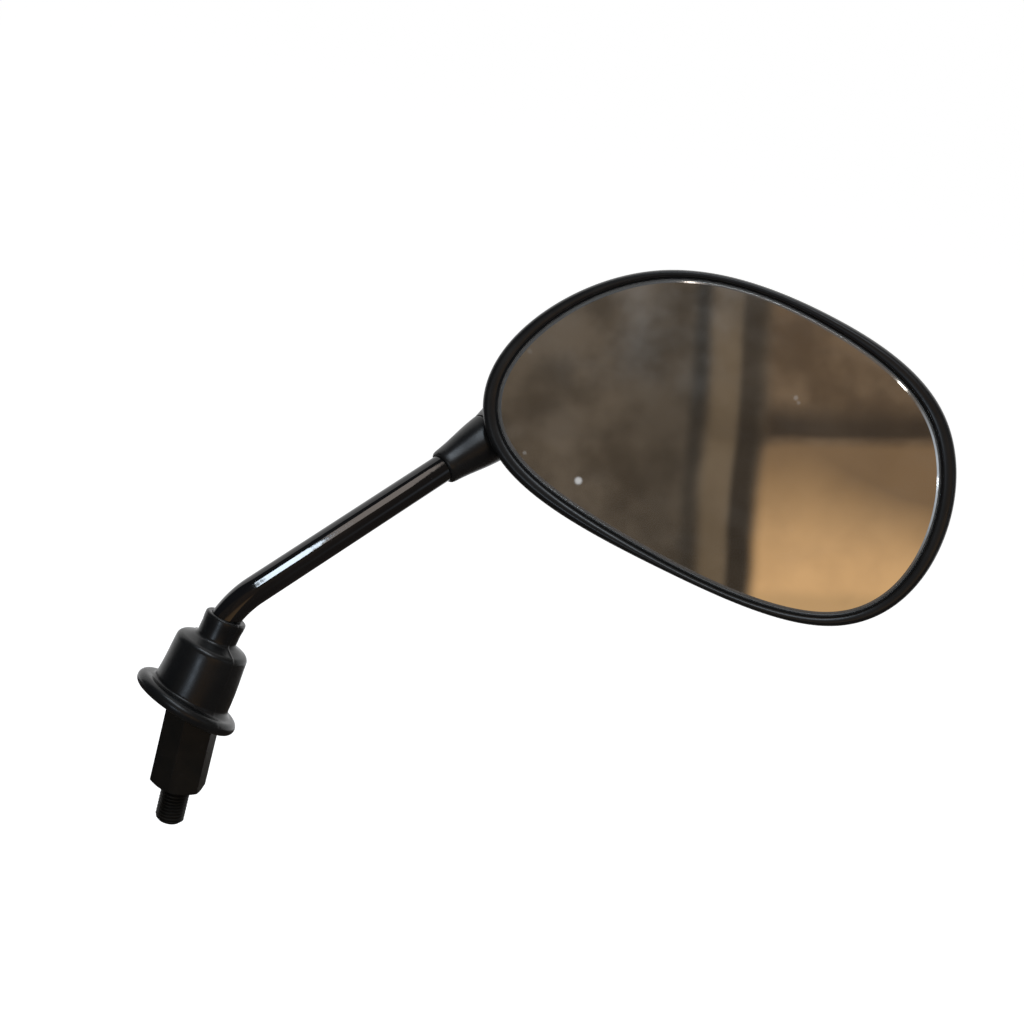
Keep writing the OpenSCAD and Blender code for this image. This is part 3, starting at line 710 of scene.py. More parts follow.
def natural_nylon(colours):
    """Milky nylon with slight flow marks."""
    f = Finish("Natural nylon", colours.nylon, 0.38)
    f.shader.inputs["Subsurface Weight"].default_value = 0.15
    f.shader.inputs["Subsurface Radius"].default_value = (0.002, 0.0018, 0.0014)
    flow = f.noise(190.0, 4.0, 0.5, f.stretched((1.0, 1.0, 3.0)))
    aged = [c * t for c, t in zip(colours.nylon, (0.95, 0.88, 0.72))]
    f.bump(f.noise(900.0, 2.0), 0.000015)
    base = f.blend(f.spread(flow, 0.4, 0.75, 0.0, 0.7), colours.nylon, aged)
    return f.done(base, f.spread(flow, 0.3, 0.7, 0.32, 0.46))


def plate_plastic(colours):
    """Plain black plate plastic with a coarse moulding grain."""
    f = Finish("Plate plastic", colours.plate, 0.5)
    grain = f.noise(1300.0, 3.0)
    paler = [c * 1.9 for c in colours.plate]
    f.bump(grain, 0.00002)
    base = f.blend(f.spread(f.noise(60.0, 4.0), 0.4, 0.8, 0.0, 0.5), colours.plate, paler)
    return f.done(base, f.spread(grain, 0.3, 0.7, 0.44, 0.6))


def foam_tape(colours):
    """Open-celled grey foam, its pores darkened with painted shade."""
    f = Finish("Foam tape", colours.foam, 0.9)
    pores = f.cells(1500.0)
    deep = [c * 0.35 for c in colours.foam]
    f.bump(pores, 0.0001)
    # Painted shade: the colour darkens towards each pore's middle, where shade falls into the hollow
    base = f.blend(f.spread(pores, 0.05, 0.5, 1.0, 0.0), colours.foam, deep)
    return f.done(base, f.spread(pores, 0.0, 1.0, 0.8, 0.98))


def silvered_glass(colours, specks, mist):
    """Silvering under a soft film of dust, thickest round one place, with a few single specks."""
    f = Finish("Silvered glass", colours.silver, 0.0, metallic=1.0)

    def apart(spot):
        return f.node("ShaderNodeVectorMath", f.place, tuple(spot), operation="DISTANCE").outputs["Value"]

    cloudy = f.spread(f.noise(34.0, 4.0, 0.55), 0.40, 0.68, 0.12, 1.0, True)
    haze = f.math("MULTIPLY", cloudy, f.spread(apart(mist), 0.004, 0.062, 0.105, 0.008, True))
    wiped = f.noise(1.0, 4.0, 0.5, f.stretched((30.0, 30.0, 70.0), (0.0, math.radians(34), 0.0)))
    smears = f.spread(wiped, 0.5, 0.85, 0.0, 0.02, True)
    film = f.math("ADD", f.math("ADD", haze, smears), 0.006)
    for spot, radius, share in specks:
        film = f.math("MAXIMUM", film, f.spread(apart(spot), radius * 0.3, radius, share, 0.0, True))
    bright = f.math("SUBTRACT", 1.0, film)
    return f.done(f.blend(film, colours.silver, colours.film), None, bright)


def ground_edge(colours):
    """The ground and polished bevel round the glass."""
    f = Finish("Ground glass edge", colours.silver, 0.07, metallic=0.9)
    marks = f.noise(900.0, 3.0)
    grit = f.spread(f.noise(150.0, 4.0), 0.4, 0.7, 0.0, 0.5)
    milky = [min(1.0, c * 1.25) for c in colours.silver]
    f.bump(marks, 0.00001)
    return f.done(f.blend(grit, colours.silver, milky), f.spread(marks, 0.3, 0.7, 0.05, 0.10))


def seal_rubber(colours):
    """Soft black seal, duller than the boot."""
    f = Finish("Seal rubber", colours.rubber, 0.6, specular=0.15)
    grain = f.noise(1900.0, 2.0)
    dusty = f.spread(f.noise(120.0, 5.0, 0.6), 0.45, 0.8, 0.0, 0.02)
    f.bump(grain, 0.00002)
    return f.done(f.blend(dusty, colours.rubber, colours.dust), f.spread(grain, 0.3, 0.7, 0.54, 0.68))


# Outline of the head
HEAD_CONTROL = (
    (1.07, -0.01), (0.83, 0.97), (0.18, 1.14), (-0.63, 1.00),
    (-1.11, -0.11), (-0.87, -0.90), (0.03, -0.91), (0.85, -0.84),
)


class Outline:
    """The closed spline round the head, its inward normals and the rim's width along it."""

    def __init__(self, head, count):
        half = np.array([head.span / 2, head.height / 2])
        c = np.array(HEAD_CONTROL) * half
        step = np.arange(count) * len(c) / count
        i = np.floor(step).astype(int)
        t = (step - i)[:, None]
        a, b, d, e = (c[(i + k) % len(c)] for k in range(4))
        near = 3 * t**3 - 6 * t**2 + 4
        far = -3 * t**3 + 3 * t**2 + 3 * t + 1
        self.points = ((1 - t) ** 3 * a + near * b + far * d + t**3 * e) / 6
        slope = (-((1 - t) ** 2) * a + (3 * t**2 - 4 * t) * b + (-3 * t**2 + 2 * t + 1) * d + t**2 * e) / 2
        slope /= np.linalg.norm(slope, axis=1)[:, None]
        self.inward = np.stack([-slope[:, 1], slope[:, 0]], axis=1)
        about = np.arctan2(self.points[:, 1], self.points[:, 0]) - head.lip_turn
        self.rim = head.lip_width + head.lip_swell * np.cos(2 * about)
        self.pole = np.array([-0.27, -0.11]) * half

    def inset(self, fixed, share):
        return self.points + self.inward * (fixed + share * self.rim)[:, None]

    def ring(self, fixed, share, scale, z):
        flat = self.pole + (self.inset(fixed, share) - self.pole) * scale
        return np.column_stack([flat, np.broadcast_to(z, len(flat))])


def crown(distance, glass, front=0.0):
    """Height of the convex layer at a distance from the middle."""
    return front - glass.recess - glass.curve + np.sqrt(glass.curve**2 - np.asarray(distance) ** 2)


def dome_share(outline, wall, spot):
    """Share of the way from the pole to the dome's inner wall."""
    reach = np.einsum("ij,ij->i", outline.pole - outline.points, outline.inward) - wall
    gone = outline.inward @ (outline.pole - np.asarray(spot))
    return float((gone / reach).max())


def neck_reach(direction, axis, joint, back):
    """How far the swelling over the neck reaches from its centre, along each direction."""
    along = direction @ axis
    across = np.sqrt(np.maximum(1e-9, 1 - along**2))
    wide = joint.hump_radius
    taper = (wide - joint.gaiter_root) / back**2
    bent = np.maximum(1e-9, taper * along**2)
    front = (-across + np.sqrt(across**2 + 4 * bent * wide)) / (2 * bent)
    front = np.minimum(front, (back + 0.0015) / np.maximum(1e-6, along))
    behind = 1 / np.sqrt((across / wide) ** 2 + (along / joint.tube_length) ** 2)
    return np.where(along > 0, front, behind)


def soft_max(a, b, width):
    """The larger of two values, rounded where they meet."""
    h = np.clip(0.5 + (a - b) / (2 * width), 0, 1)
    return b + (a - b) * h + width * h * (1 - h)


# Operators
class Settings:
    """The scene's property groups by short names."""

    def __init__(self, scene):
        for key in GROUPS:
            setattr(self, key.removeprefix("mirror_"), getattr(scene, key))


def rod_path(stem, low, high, radius):
    """Points and girths up the rod, round its bend and along the arm."""
    points = []
    for z in np.linspace(low, stem.rise, max(2, int((stem.rise - low) / 0.006) + 1))[:-1]:
        points.append(Vector((0, 0, z)))
    steps = 40
    for i in range(steps + 1):
        points.append(bend_point(stem, stem.bend_angle * i / steps))
    end, along = points[-1], arm_direction(stem)
    for d in np.linspace(0, high, max(2, int(high / 0.006) + 1))[1:]:
        points.append(end + along * d)
    return points, [radius] * len(points)


class MIRROR_OT_adapter(bpy.types.Operator):
    """Builds the hexagonal adapter with its threaded stud"""

    bl_idname = "mirror.adapter"
    bl_label = "Adapter"

    def execute(self, context):
        s = Settings(context.scene)
        a, stem = s.adapter, s.stem
        steel = black_steel(s.colours)
        corner = a.across_flats / 2 / math.cos(math.radians(30))
        cut = corner - a.across_flats / 2
        rise = cut * math.tan(math.radians(30))
        body = drum("adapter_hexagon", turned("Z", a.hex_turn), [(corner, 0), (corner, a.height)], 6)
        wide = corner + 0.0001
        crown_tool = drum("crown", None, [
            (corner - cut, 0), (wide, rise), (wide, a.height - rise), (corner - cut, a.height)
        ], 192)
        combine(body, [crown_tool], "INTERSECT")
        bore = stem.rod_radius + 0.00005
        floor = a.height - a.socket_depth
        socket = drum("socket", None, [
            (0.0001, floor - bore / 2), (bore, floor), (bore, a.height + 0.001)
        ], 96)
        combine(body, [socket], "DIFFERENCE")
        body.data.materials.clear()
        body.data.materials.append(steel)
        edge = body.modifiers.new("Worn edges", "BEVEL")
        edge.width = a.edge_round
        edge.segments = 3
        edge.limit_method = "ANGLE"
        edge.angle_limit = math.radians(28)
        settle(body)
        soften(body, 30)

        turns = int(round((a.stud_length - a.relief) / a.pitch))
        stud = grow("adapter_thread", bare_mesh("adapter_thread"), thread_tree(), {
            "Radius": a.stud_radius, "Pitch": a.pitch, "Depth": a.thread_depth, "Turns": turns,
            "Chamfer": a.stud_chamfer, "Columns": 72, "Material": steel,
        }, Matrix.Translation((0, 0, -a.stud_length)), 50)
        root = a.stud_radius - a.thread_depth
        neck = drum("adapter_relief", None, [
            (root, -a.relief - a.pitch), (root, -0.0004), (root + 0.0004, 0.0), (root + 0.0004, 0.0002)
        ], 72)
        neck.data.materials.append(steel)
        for piece in (body, stud, neck):
            present(piece, "adapter", "adapter_steel", "adapter")
        return {"FINISHED"}


class MIRROR_OT_stem(bpy.types.Operator):
    """Builds the painted bent rod, its thread and its turned neck"""

    bl_idname = "mirror.stem"
    bl_label = "Stem"

    def execute(self, context):
        s = Settings(context.scene)
        stem = s.stem
        paint = gloss_paint(s.colours)
        reach = stem.arm_length - stem.shoulder_back
        points, girths = rod_path(stem, stem.thread_top, reach, stem.rod_radius)
        along, ball = arm_direction(stem), ball_centre(stem)
        ball_radius, flat_radius = 0.0065, stem.spigot_radius + 0.0008
        flat = math.sqrt(ball_radius**2 - flat_radius**2)
        tiny = 0.00004
        chamfer = 0.0006
        points[-1] = ball - along * (stem.shoulder_back + chamfer)
        for back, girth in (
            (stem.shoulder_back, stem.rod_radius - chamfer),
            (stem.shoulder_back - tiny, stem.neck_radius),
            (flat + 0.0001, stem.neck_radius),
            (flat + 0.0001 - tiny, stem.spigot_radius),
            (-flat + 0.0003, stem.spigot_radius),
            (-flat, stem.spigot_radius - 0.0003),
        ):
            points.append(ball - along * back)
            girths.append(girth)
        path = path_mesh("stem_rod", points, girths)
        rod = grow("stem_rod", path, sweep_tree(), {"Segments": 96, "Material": paint}, None, 35)
        hole = drum("pin hole", arm_frame(stem), [
            (0.00125, flat - 0.0055), (0.00125, flat + 0.001)
        ], 48)
        combine(rod, [hole], "DIFFERENCE")
        soften(rod, 35)
        pitch = s.adapter.pitch
        turns = int(round((stem.thread_top - stem.bottom) / pitch))
        thread = grow("stem_thread", bare_mesh("stem_thread"), thread_tree(), {
            "Radius": stem.rod_radius, "Pitch": pitch, "Depth": s.adapter.thread_depth, "Turns": turns,
            "Chamfer": 0.0009, "Columns": 72, "Material": paint,
        }, Matrix.Translation((0, 0, stem.thread_top - turns * pitch)), 50)
        for piece in (rod, thread):
            present(piece, "stem", "stem_paint", "stem")
        return {"FINISHED"}


class MIRROR_OT_boot(bpy.types.Operator):
    """Builds the moulded rubber boot at the stem's foot"""

    bl_idname = "mirror.boot"
    bl_label = "Rubber boot"

    def execute(self, context):
        s = Settings(context.scene)
        b, stem = s.boot, s.stem
        rubber = moulded_rubber(s.colours)
        half = b.brim_thickness / 2
        top, peak = b.body_height, b.body_height + b.collar_height
        fillet, edge, foot = b.brim_fillet, b.shoulder_round, 0.0016
        rim, bead = 0.0008, b.collar_radius + b.collar_bead
        crest = top - edge
        start = half + fillet
        body_share = 0.55

        def side(z):
            return b.body_radius + (b.top_radius - b.body_radius) * (z - half) / (crest - half)

        # (radius, height, share of the brim's lean) down the outside from the collar's rim
        outside = [(stem.rod_radius, peak - 0.0002, 0.0)]
        outside += [(r, z, 0.0) for r, z in arc((bead - rim, peak - rim), rim, 90, 0, 6)]
        outside += [(bead, peak - 0.0022, 0.0), (b.collar_radius, peak - 0.0040, 0.0)]
        outside += [
            (r, z, 0.0)
            for r, z in arc((b.collar_radius + foot, top + b.shoulder_rise + foot * 0.75), foot, 180, 250, 6)
        ]
        outside += [(r, z, 0.0) for r, z in arc((b.top_radius - edge, crest), edge, 78, 3, 8)]
        for i in range(1, 10):
            z = crest + (start - crest) * i / 10
            outside.append((side(z), z, body_share * (i / 10) ** 1.5))
        hollow = arc((side(start) + fillet, start), fillet, 180, 262, 8)
        outside += [(r, z, share) for (r, z), share in zip(hollow, np.linspace(body_share, 1.0, 9))]
        outside += [(r, z, 1.0) for r, z in arc((b.brim_radius - half, 0), half, 90, -90, 14)]
        outside += [(b.mouth_radius + 0.0022, -half, 1.0)]
        lip = 0.0010
        mouth = arc((b.mouth_radius + 0.0008, -half + lip), lip, -90, -180, 5)
        outside += [(r, z, 1.0) for r, z in mouth]
        inner, roof = b.top_radius - b.wall, top - b.wall
        inside = [
            (b.mouth_radius - 0.0006, 0.0004, 0.8), (side(start) - b.wall, start, 0.5), (inner, roof - 0.001),
            (inner - 0.001, roof), (0.001, roof),
        ]
        profile = outside + [(*p, 0.0) if len(p) == 2 else p for p in inside]
        around = 144
        seams = (math.radians(100), math.radians(280))
        rings = []
        for index, (r, z, share) in enumerate(profile):
            lean = turned("Y", b.brim_lean * share)
            ring = []
            for k in range(around):
                angle = 2 * math.pi * k / around
                flash = 0.0
                if 0 < index < len(outside) - 4:
                    for seam in seams:
                        off = (angle - seam + math.pi) % (2 * math.pi) - math.pi
                        flash = max(flash, 0.00016 * max(0.0, 1 - abs(off) * r / 0.00045))
                wide = r + flash
                high = z + flash if z > top * 0.9 else z
                ring.append(lean @ Vector((wide * math.cos(angle), wide * math.sin(angle), high)))
            rings.append(ring)
        points, faces = skin(rings, (0, 0, peak - 0.0002), (0, 0, top - b.wall))
        boot = object_from("rubber_boot_skin", points, faces, [rubber], boot_frame(stem, b), 45)
        path = path_mesh("rod tool", *rod_path(stem, s.adapter.height, 0.02, stem.rod_radius + 0.0001))
        rod = grow("rod tool", path, sweep_tree(), {"Segments": 96, "Material": rubber})
        corner = s.adapter.across_flats / 2 / math.cos(math.radians(30)) + 0.00025
        hexagon = drum("hexagon tool", None, [(corner, -0.001), (corner, s.adapter.height + 0.00025)], 128)
        combine(boot, [rod, hexagon], "DIFFERENCE")
        soften(boot, 45)
        present(boot, "stem", "boot_rubber", "rubber_boot")
        return {"FINISHED"}


class MIRROR_OT_gaiter(bpy.types.Operator):
    """Builds the neck gaiter in two halves, the small end and the large end"""

    bl_idname = "mirror.gaiter"
    bl_label = "Neck gaiter"

    def execute(self, context):
        s = Settings(context.scene)
        j, stem = s.joint, s.stem
        rubber = moulded_rubber(s.colours)
        frame_here = arm_frame(stem)
        inner = stem.rod_radius + 0.00004
        tip = -j.neck_face - j.gaiter_length
        root = -j.neck_face - 0.00025
        middle = root - j.gaiter_wide_end
        # The tip grips the rod and the bore widens behind it
        grip, flare, still = 0.002, 0.003, 0.004

        def outer(z):
            t = (z - tip) / (root - tip)
            return j.gaiter_tip + (j.gaiter_root - j.gaiter_tip) * (t - 0.05 * math.sin(2 * math.pi * t))

        def bore(z):
            thin = min(outer(z) - j.gaiter_wall, j.opening_radius)
            return inner + (thin - inner) * min(1.0, max(0.0, (z - tip - grip) / flare))

        soft = 0.0010
        small = [(inner, tip + 0.0001), (inner + 0.0001, tip)]
        small += arc((outer(tip) - soft, tip + soft), soft, -90, -8, 6)
        small += [(outer(z), z) for z in np.linspace(tip + soft * 1.5, middle, 14)]
        small += [(bore(z), z) for z in np.linspace(middle, tip + grip, 8)]
        large = [(bore(middle), middle)]
        large += [(outer(z), z) for z in np.linspace(middle, root - 0.0006, 14)]
        large += [(outer(root) - 0.0002, root - 0.0001), (outer(root) - 0.0006, root)]
        large.append((j.opening_radius + 0.0001, root))
        large += [(bore(z), z) for z in np.linspace(root - 0.0003, middle, 8)][:-1]
        around = 128
        for name, profile, bodies, span in (
            ("neck_gaiter_small_end", small, ("ball", "seats"), (tip + still, middle)),
            ("neck_gaiter_large_end", large, ("seats", "head"), (middle, root)),
        ):
            rings = round_rings(profile, around)
            points, faces = skin(rings + [rings[0]])
            piece = object_from(name, points, faces, [rubber], frame_here, 50)
            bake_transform(piece)
            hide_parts("neck_gaiter")
        return {"FINISHED"}


class MIRROR_OT_housing(bpy.types.Operator):
    """Builds the domed housing, its rounded rim and the swelling over the joint"""

    bl_idname = "mirror.housing"
    bl_label = "Housing"

    def execute(self, context):
        s = Settings(context.scene)
        head, j, glass, stem = s.head, s.joint, s.glass, s.stem
        plastic = moulded_plastic(s.colours)
        outline = Outline(head, 256)
        place = head_frame(stem, head)
        power = head.dome_power
        deep = head.depth - head.belt
        behind = -glass.thickness - glass.pad - glass.plate
        plate_back = float(-crown(head.span / 2, glass, behind)) + 0.0005

        def dome(wall, reversed_order):
            low = [(q, math.asin(q ** (power / 2))) for q in np.linspace(0.03, 0.78, 22)]
            start = math.degrees(low[-1][1])
            high = [(math.sin(a) ** (2 / power), a) for a in np.radians(np.linspace(start, 88.5, 20))][1:]
            rows = []
            for q, a in low + high:
                back = head.belt + (deep - wall) * math.cos(a) ** (2 / power)
                rows.append(outline.ring(wall, 0, q, -back))
            return rows[::-1] if reversed_order else rows

        # The lip falls back with the convex glass towards the two ends
        fall = np.maximum(0, (outline.points ** 2).sum(axis=1) / (2 * glass.curve) - head.lip_level)

        def lip(share, z):
            return outline.ring(0, share, 1, z - fall * (1 + z / head.belt))

        rings = dome(0.0, False)
        for a in np.radians(np.linspace(0, 90, 11)):
            rings.append(lip(0.5 * (1 - math.cos(a)), -head.belt * (1 - math.sin(a))))
        for a in np.radians(np.linspace(15, 90, 6)):
            rings.append(lip(0.5 + 0.5 * math.sin(a), -head.lip_step * (1 - math.cos(a))))
        rings.append(outline.ring(0, 1, 1, -plate_back))
        rings.append(outline.ring(head.wall, 0, 1, -plate_back - 0.0005))
        outer_rows = len(dome(0.0, False)) + 11
        rings += dome(head.wall, True)
        pole = outline.pole
        points, faces = skin(rings, (*pole, -head.depth), (*pole, -head.depth + head.wall))

        mesh = bpy.data.meshes.new("housing_shell")
        mesh.from_pydata(points, [], faces)
        work = bmesh.new()
        work.from_mesh(mesh)
        work.verts.ensure_lookup_table()
        outside = work.verts.layers.int.new("outside")
        for v in work.verts[: outer_rows * len(outline.points)]:
            v[outside] = 1
        arm = (place.to_3x3().inverted() @ arm_direction(stem)).normalized()
        ball = Vector((head.ball_x, head.ball_y, head.ball_z))
        forward = 0.010
        centre = ball + arm * forward
        neck = ball - arm * 0.006
        for reach in (0.034, 0.028):
            near = [
                f for f in work.faces
                if all(v[outside] for v in f.verts) and (f.calc_center_median() - neck).length < reach
            ]
            edges = list({e for f in near for e in f.edges})
            bmesh.ops.subdivide_edges(work, edges=edges, cuts=1, use_grid_fill=True, smooth=0.0)
        spots = [v for v in work.verts if v[outside] == 1 and v.co.z < 0.0005]
        spots = [v for v in spots if (v.co - ball).length < 0.06]
        co = np.array([v.co for v in spots])
        away = co - np.array(centre)
        now = np.linalg.norm(away, axis=1)
        direction = away / now[:, None]
        swell = neck_reach(direction, -np.array(arm), j, forward + j.neck_face)
        wanted = soft_max(now, swell, j.fillet / 2)
        wanted = np.maximum(wanted, now)
        fade = np.clip((-0.0030 - co[:, 2]) / 0.0060, 0, 1)
        fade = fade * fade * (3 - 2 * fade)
        reached = now + (wanted - now) * fade
        for v, spot in zip(spots, np.array(centre) + direction * reached[:, None]):
            v.co = spot
        bmesh.ops.triangulate(work, faces=work.faces)
        bmesh.ops.recalc_face_normals(work, faces=work.faces)
        work.to_mesh(mesh)
        work.free()
        mesh.transform(place)
        shell = bpy.data.objects.new("housing_shell", mesh)
        context.scene.collection.objects.link(shell)

        here = arm_frame(stem)
        added = [drum("tube", here, [(j.tube_radius, -0.001), (j.tube_radius, j.tube_length)], 96)]
        holes = []
        for x, y in BOSSES:
            spot = (x * head.span / 2, y * head.height / 2)
            inner = dome_share(outline, head.wall, spot)
            bowl = (deep - head.wall) * max(0.0, 1 - inner**power) ** (1 / power)
            low = -head.belt - bowl - 0.3 * head.wall
            high = float(crown(math.hypot(*spot) + head.boss_radius, glass, behind))
            stand = place @ Matrix.Translation((*spot, 0))
            added.append(drum("boss", stand, [(head.boss_radius, low), (head.boss_radius, high)], 48))
            holes.append(drum("screw hole", stand, [
                (glass.screw_radius, high - glass.screw_length), (glass.screw_radius, high + 0.001)
            ], 32))
        combine(shell, added, "UNION")
        mouth_z = -math.sqrt(j.socket_radius**2 - j.mouth_radius**2)
        bore = arc((0, 0), j.socket_radius, math.degrees(math.atan2(mouth_z, j.mouth_radius)), -2, 14)
        wide = [(j.opening_radius + 0.0001, -j.neck_face - 0.0005), (j.opening_radius, -j.neck_face)]
        tool = drum("socket", here, wide + bore + [
            (j.bore_radius, 0.0), (j.bore_radius, j.tube_length + 0.001)
        ], 96)
        trim = drum("neck trim", here, [
            (j.hump_radius + 0.0006, -j.neck_face - 0.0025), (j.hump_radius + 0.0006, -j.neck_face)
        ], 96)
        combine(shell, holes + [tool, trim], "DIFFERENCE")
        shell.data.materials.clear()
        shell.data.materials.append(plastic)
        soften(shell, 32)
        present(shell, "head", "housing_plastic", "housing")
        return {"FINISHED"}


class MIRROR_OT_glass(bpy.types.Operator):
    """Builds the convex mirror with its ground bevel"""

    bl_idname = "mirror.glass"
    bl_label = "Mirror glass"

    def execute(self, context):
        s = Settings(context.scene)
        glass, head, stem = s.glass, s.head, s.stem
        place = head_frame(stem, head)
        outline = Outline(head, 320)

        def ring(inset, drop, scale=1.0):
            flat = outline.inset(inset, 1) * scale
            return np.column_stack([flat, crown(np.linalg.norm(flat, axis=1), glass, -drop)])

        edge = glass.seal
        inner = edge + glass.bevel_width
        back = [ring(edge + 0.0002, glass.thickness, q) for q in np.linspace(0.02, 1.0, 20)]
        side = [ring(edge, glass.thickness - 0.0002), ring(edge, glass.bevel_depth + 0.0001)]
        bevel = [
            ring(edge + glass.bevel_width * t, glass.bevel_depth * (1 - t)) for t in np.linspace(0.04, 1.0, 4)
        ]
        face = [ring(inner, 0, q) for q in np.linspace(0.985, 0.015, 44)]
        points, faces = skin(
            back + side + bevel + face,
            (0, 0, float(crown(0, glass, -glass.thickness))), (0, 0, float(crown(0, glass))),
        )
        specks = [
            (place @ Vector((x, y, float(crown(math.hypot(x, y), glass)))), radius, share)
            for x, y, radius, share in SPECKS
        ]
        mist = place @ Vector((*glass.mist, 0))
        finishes = [silvered_glass(s.colours, specks, mist), ground_edge(s.colours)]
        piece = object_from("mirror_glass_plate", points, faces, finishes, place, 20)
        back_to = place.inverted()
        heights = [back_to @ v.co for v in piece.data.vertices]
        for polygon in piece.data.polygons:
            near = [heights[i] for i in polygon.vertices]
            top = all(abs(p.z - float(crown(math.hypot(p.x, p.y), glass))) < 2e-6 for p in near)
            polygon.material_index = 0 if top else 1
        present(piece, "head", "mirror", "mirror_glass")
        return {"FINISHED"}


class MIRROR_OT_seal(bpy.types.Operator):
    """Builds the thin rubber seal between the glass and the rim"""

    bl_idname = "mirror.seal"
    bl_label = "Glass seal"

    def execute(self, context):
        s = Settings(context.scene)
        glass, head = s.glass, s.head
        outline = Outline(head, 320)
        flat = outline.inset(glass.seal / 2, 1)
        high, low = 0.0004, glass.thickness + glass.pad
        z = crown(np.linalg.norm(flat, axis=1), glass, -(high + low) / 2)
        path = path_mesh("glass_seal_ring", np.column_stack([flat, z]), closed=True)
        piece = grow("glass_seal_ring", path, strip_tree(), {
            "Width": glass.seal - 0.0001, "Height": low - high, "Rounding": 0.00015,
            "Material": seal_rubber(s.colours),
        }, head_frame(s.stem, head), 50)
        present(piece, "head", "seal_rubber", "glass_seal")
        return {"FINISHED"}


class MIRROR_OT_inner_pieces(bpy.types.Operator):
    """Gives the pieces that stay from the frame their finishes"""

    bl_idname = "mirror.inner_pieces"
    bl_label = "Inner pieces"

    def execute(self, context):
        colours = context.scene.mirror_colours
        zinc, spring, nylon = zinc_steel(colours), spring_steel(colours), natural_nylon(colours)
        plate, foam = plate_plastic(colours), foam_tape(colours)
        dress = {
            "lock_washer": zinc, "lock_nut": zinc, "ball_washer": zinc, "ball_screw": zinc,
            "plate_screws": zinc, "pressure_cup": zinc, "disc_springs": spring, "retaining_ring": spring,
            "pivot_ball": nylon, "seat_inner": nylon, "seat_outer": nylon,
            "backing_plate": plate, "foam_pad": foam,
        }
        for name, finish in dress.items():
            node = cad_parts[name]
            node.data.materials.clear()
            node.data.materials.append(finish)
        return {"FINISHED"}


def softbox(name, spot, aim, size, power, colour, along=(0, 0, 1)):
    """A rectangular lamp aimed at a place, with its second side as near to a direction as can be."""
    light = bpy.data.lights.new(name, "AREA")
    light.shape = "RECTANGLE"
    light.size, light.size_y = size
    light.energy = power
    light.color = colour
    lamp = bpy.data.objects.new(name, light)
    back = (Vector(spot) - Vector(aim)).normalized()
    across = Vector(along).cross(back).normalized()
    basis = Matrix((across, back.cross(across), back)).transposed().to_4x4()
    lamp.matrix_world = Matrix.Translation(spot) @ basis
    bpy.context.scene.collection.objects.link(lamp)
    return lamp


def reflected_only(name, points, faces, material):
    """A mesh of the stage that only reflections see."""
    mesh = bpy.data.meshes.new(name)
    mesh.from_pydata([tuple(p) for p in points], [], faces)
    mesh.materials.append(material)
    made = bpy.data.objects.new(name, mesh)
    bpy.context.scene.collection.objects.link(made)
    made.visible_camera = False
    made.visible_diffuse = False
    made.visible_shadow = False
    made.visible_transmission = False
    return made


def glow_material(name):
    material = bpy.data.materials.new(name)
    material.use_nodes = True
    material.node_tree.nodes.clear()
    material.cycles.emission_sampling = "NONE"
    return material, Graph(material.node_tree)


def clean_rays(g):
    """One for rays that see the backdrop straight, in gloss or through glass."""
    rays = g.node("ShaderNodeLightPath").outputs
    straight = g.math("MAXIMUM", rays["Is Camera Ray"], rays["Is Glossy Ray"])
    return g.math("MAXIMUM", straight, rays["Is Transmission Ray"])


def round_about(centre, distance, up, a):
    """A point at a distance from a centre, raised by one angle and turned by the other."""
    flat = distance * math.cos(up)
    return centre[0] + flat * math.sin(a), centre[1] - flat * math.cos(a), centre[2] + distance * math.sin(up)


def sheet_faces(rows, columns):
    """Faces between the rows of points of a sheet."""
    return [
        (j * columns + k, j * columns + k + 1, (j + 1) * columns + k + 1, (j + 1) * columns + k)
        for j in range(rows - 1) for k in range(columns - 1)
    ]


def dim_surround(level, floor_level):
    """A dark tent over the front of the object and a dark card before it on the floor."""
    material, g = glow_material("Dim surround")
    place = g.node("ShaderNodeSeparateXYZ", g.node("ShaderNodeTexCoord").outputs["Object"])
    side = g.spread(place.outputs["X"], -1.5, 1.8, smooth=True)
    shine = g.node("ShaderNodeEmission", g.blend(side, (0.022, 0.024, 0.028), (0.105, 0.075, 0.050)), level)
    g.node("ShaderNodeOutputMaterial", shine.outputs[0])
    radius, reach = 2.6, math.radians(115)
    rows, columns = 16, 33
    points = [
        round_about((0.08, 0.0, 0.05), radius, up, a)
        for up in np.radians(np.linspace(-4, 90, rows)) for a in np.linspace(-reach, reach, columns)
    ]
    tent = reflected_only("dim_tent", points, sheet_faces(rows, columns), material)
    z = floor_level + 0.002
    corners = [(-2.4, -2.6, z), (2.6, -2.6, z), (2.6, 0.35, z), (-2.4, 0.35, z)]
    return tent, reflected_only("dim_card", corners, [(0, 1, 2, 3)], material)


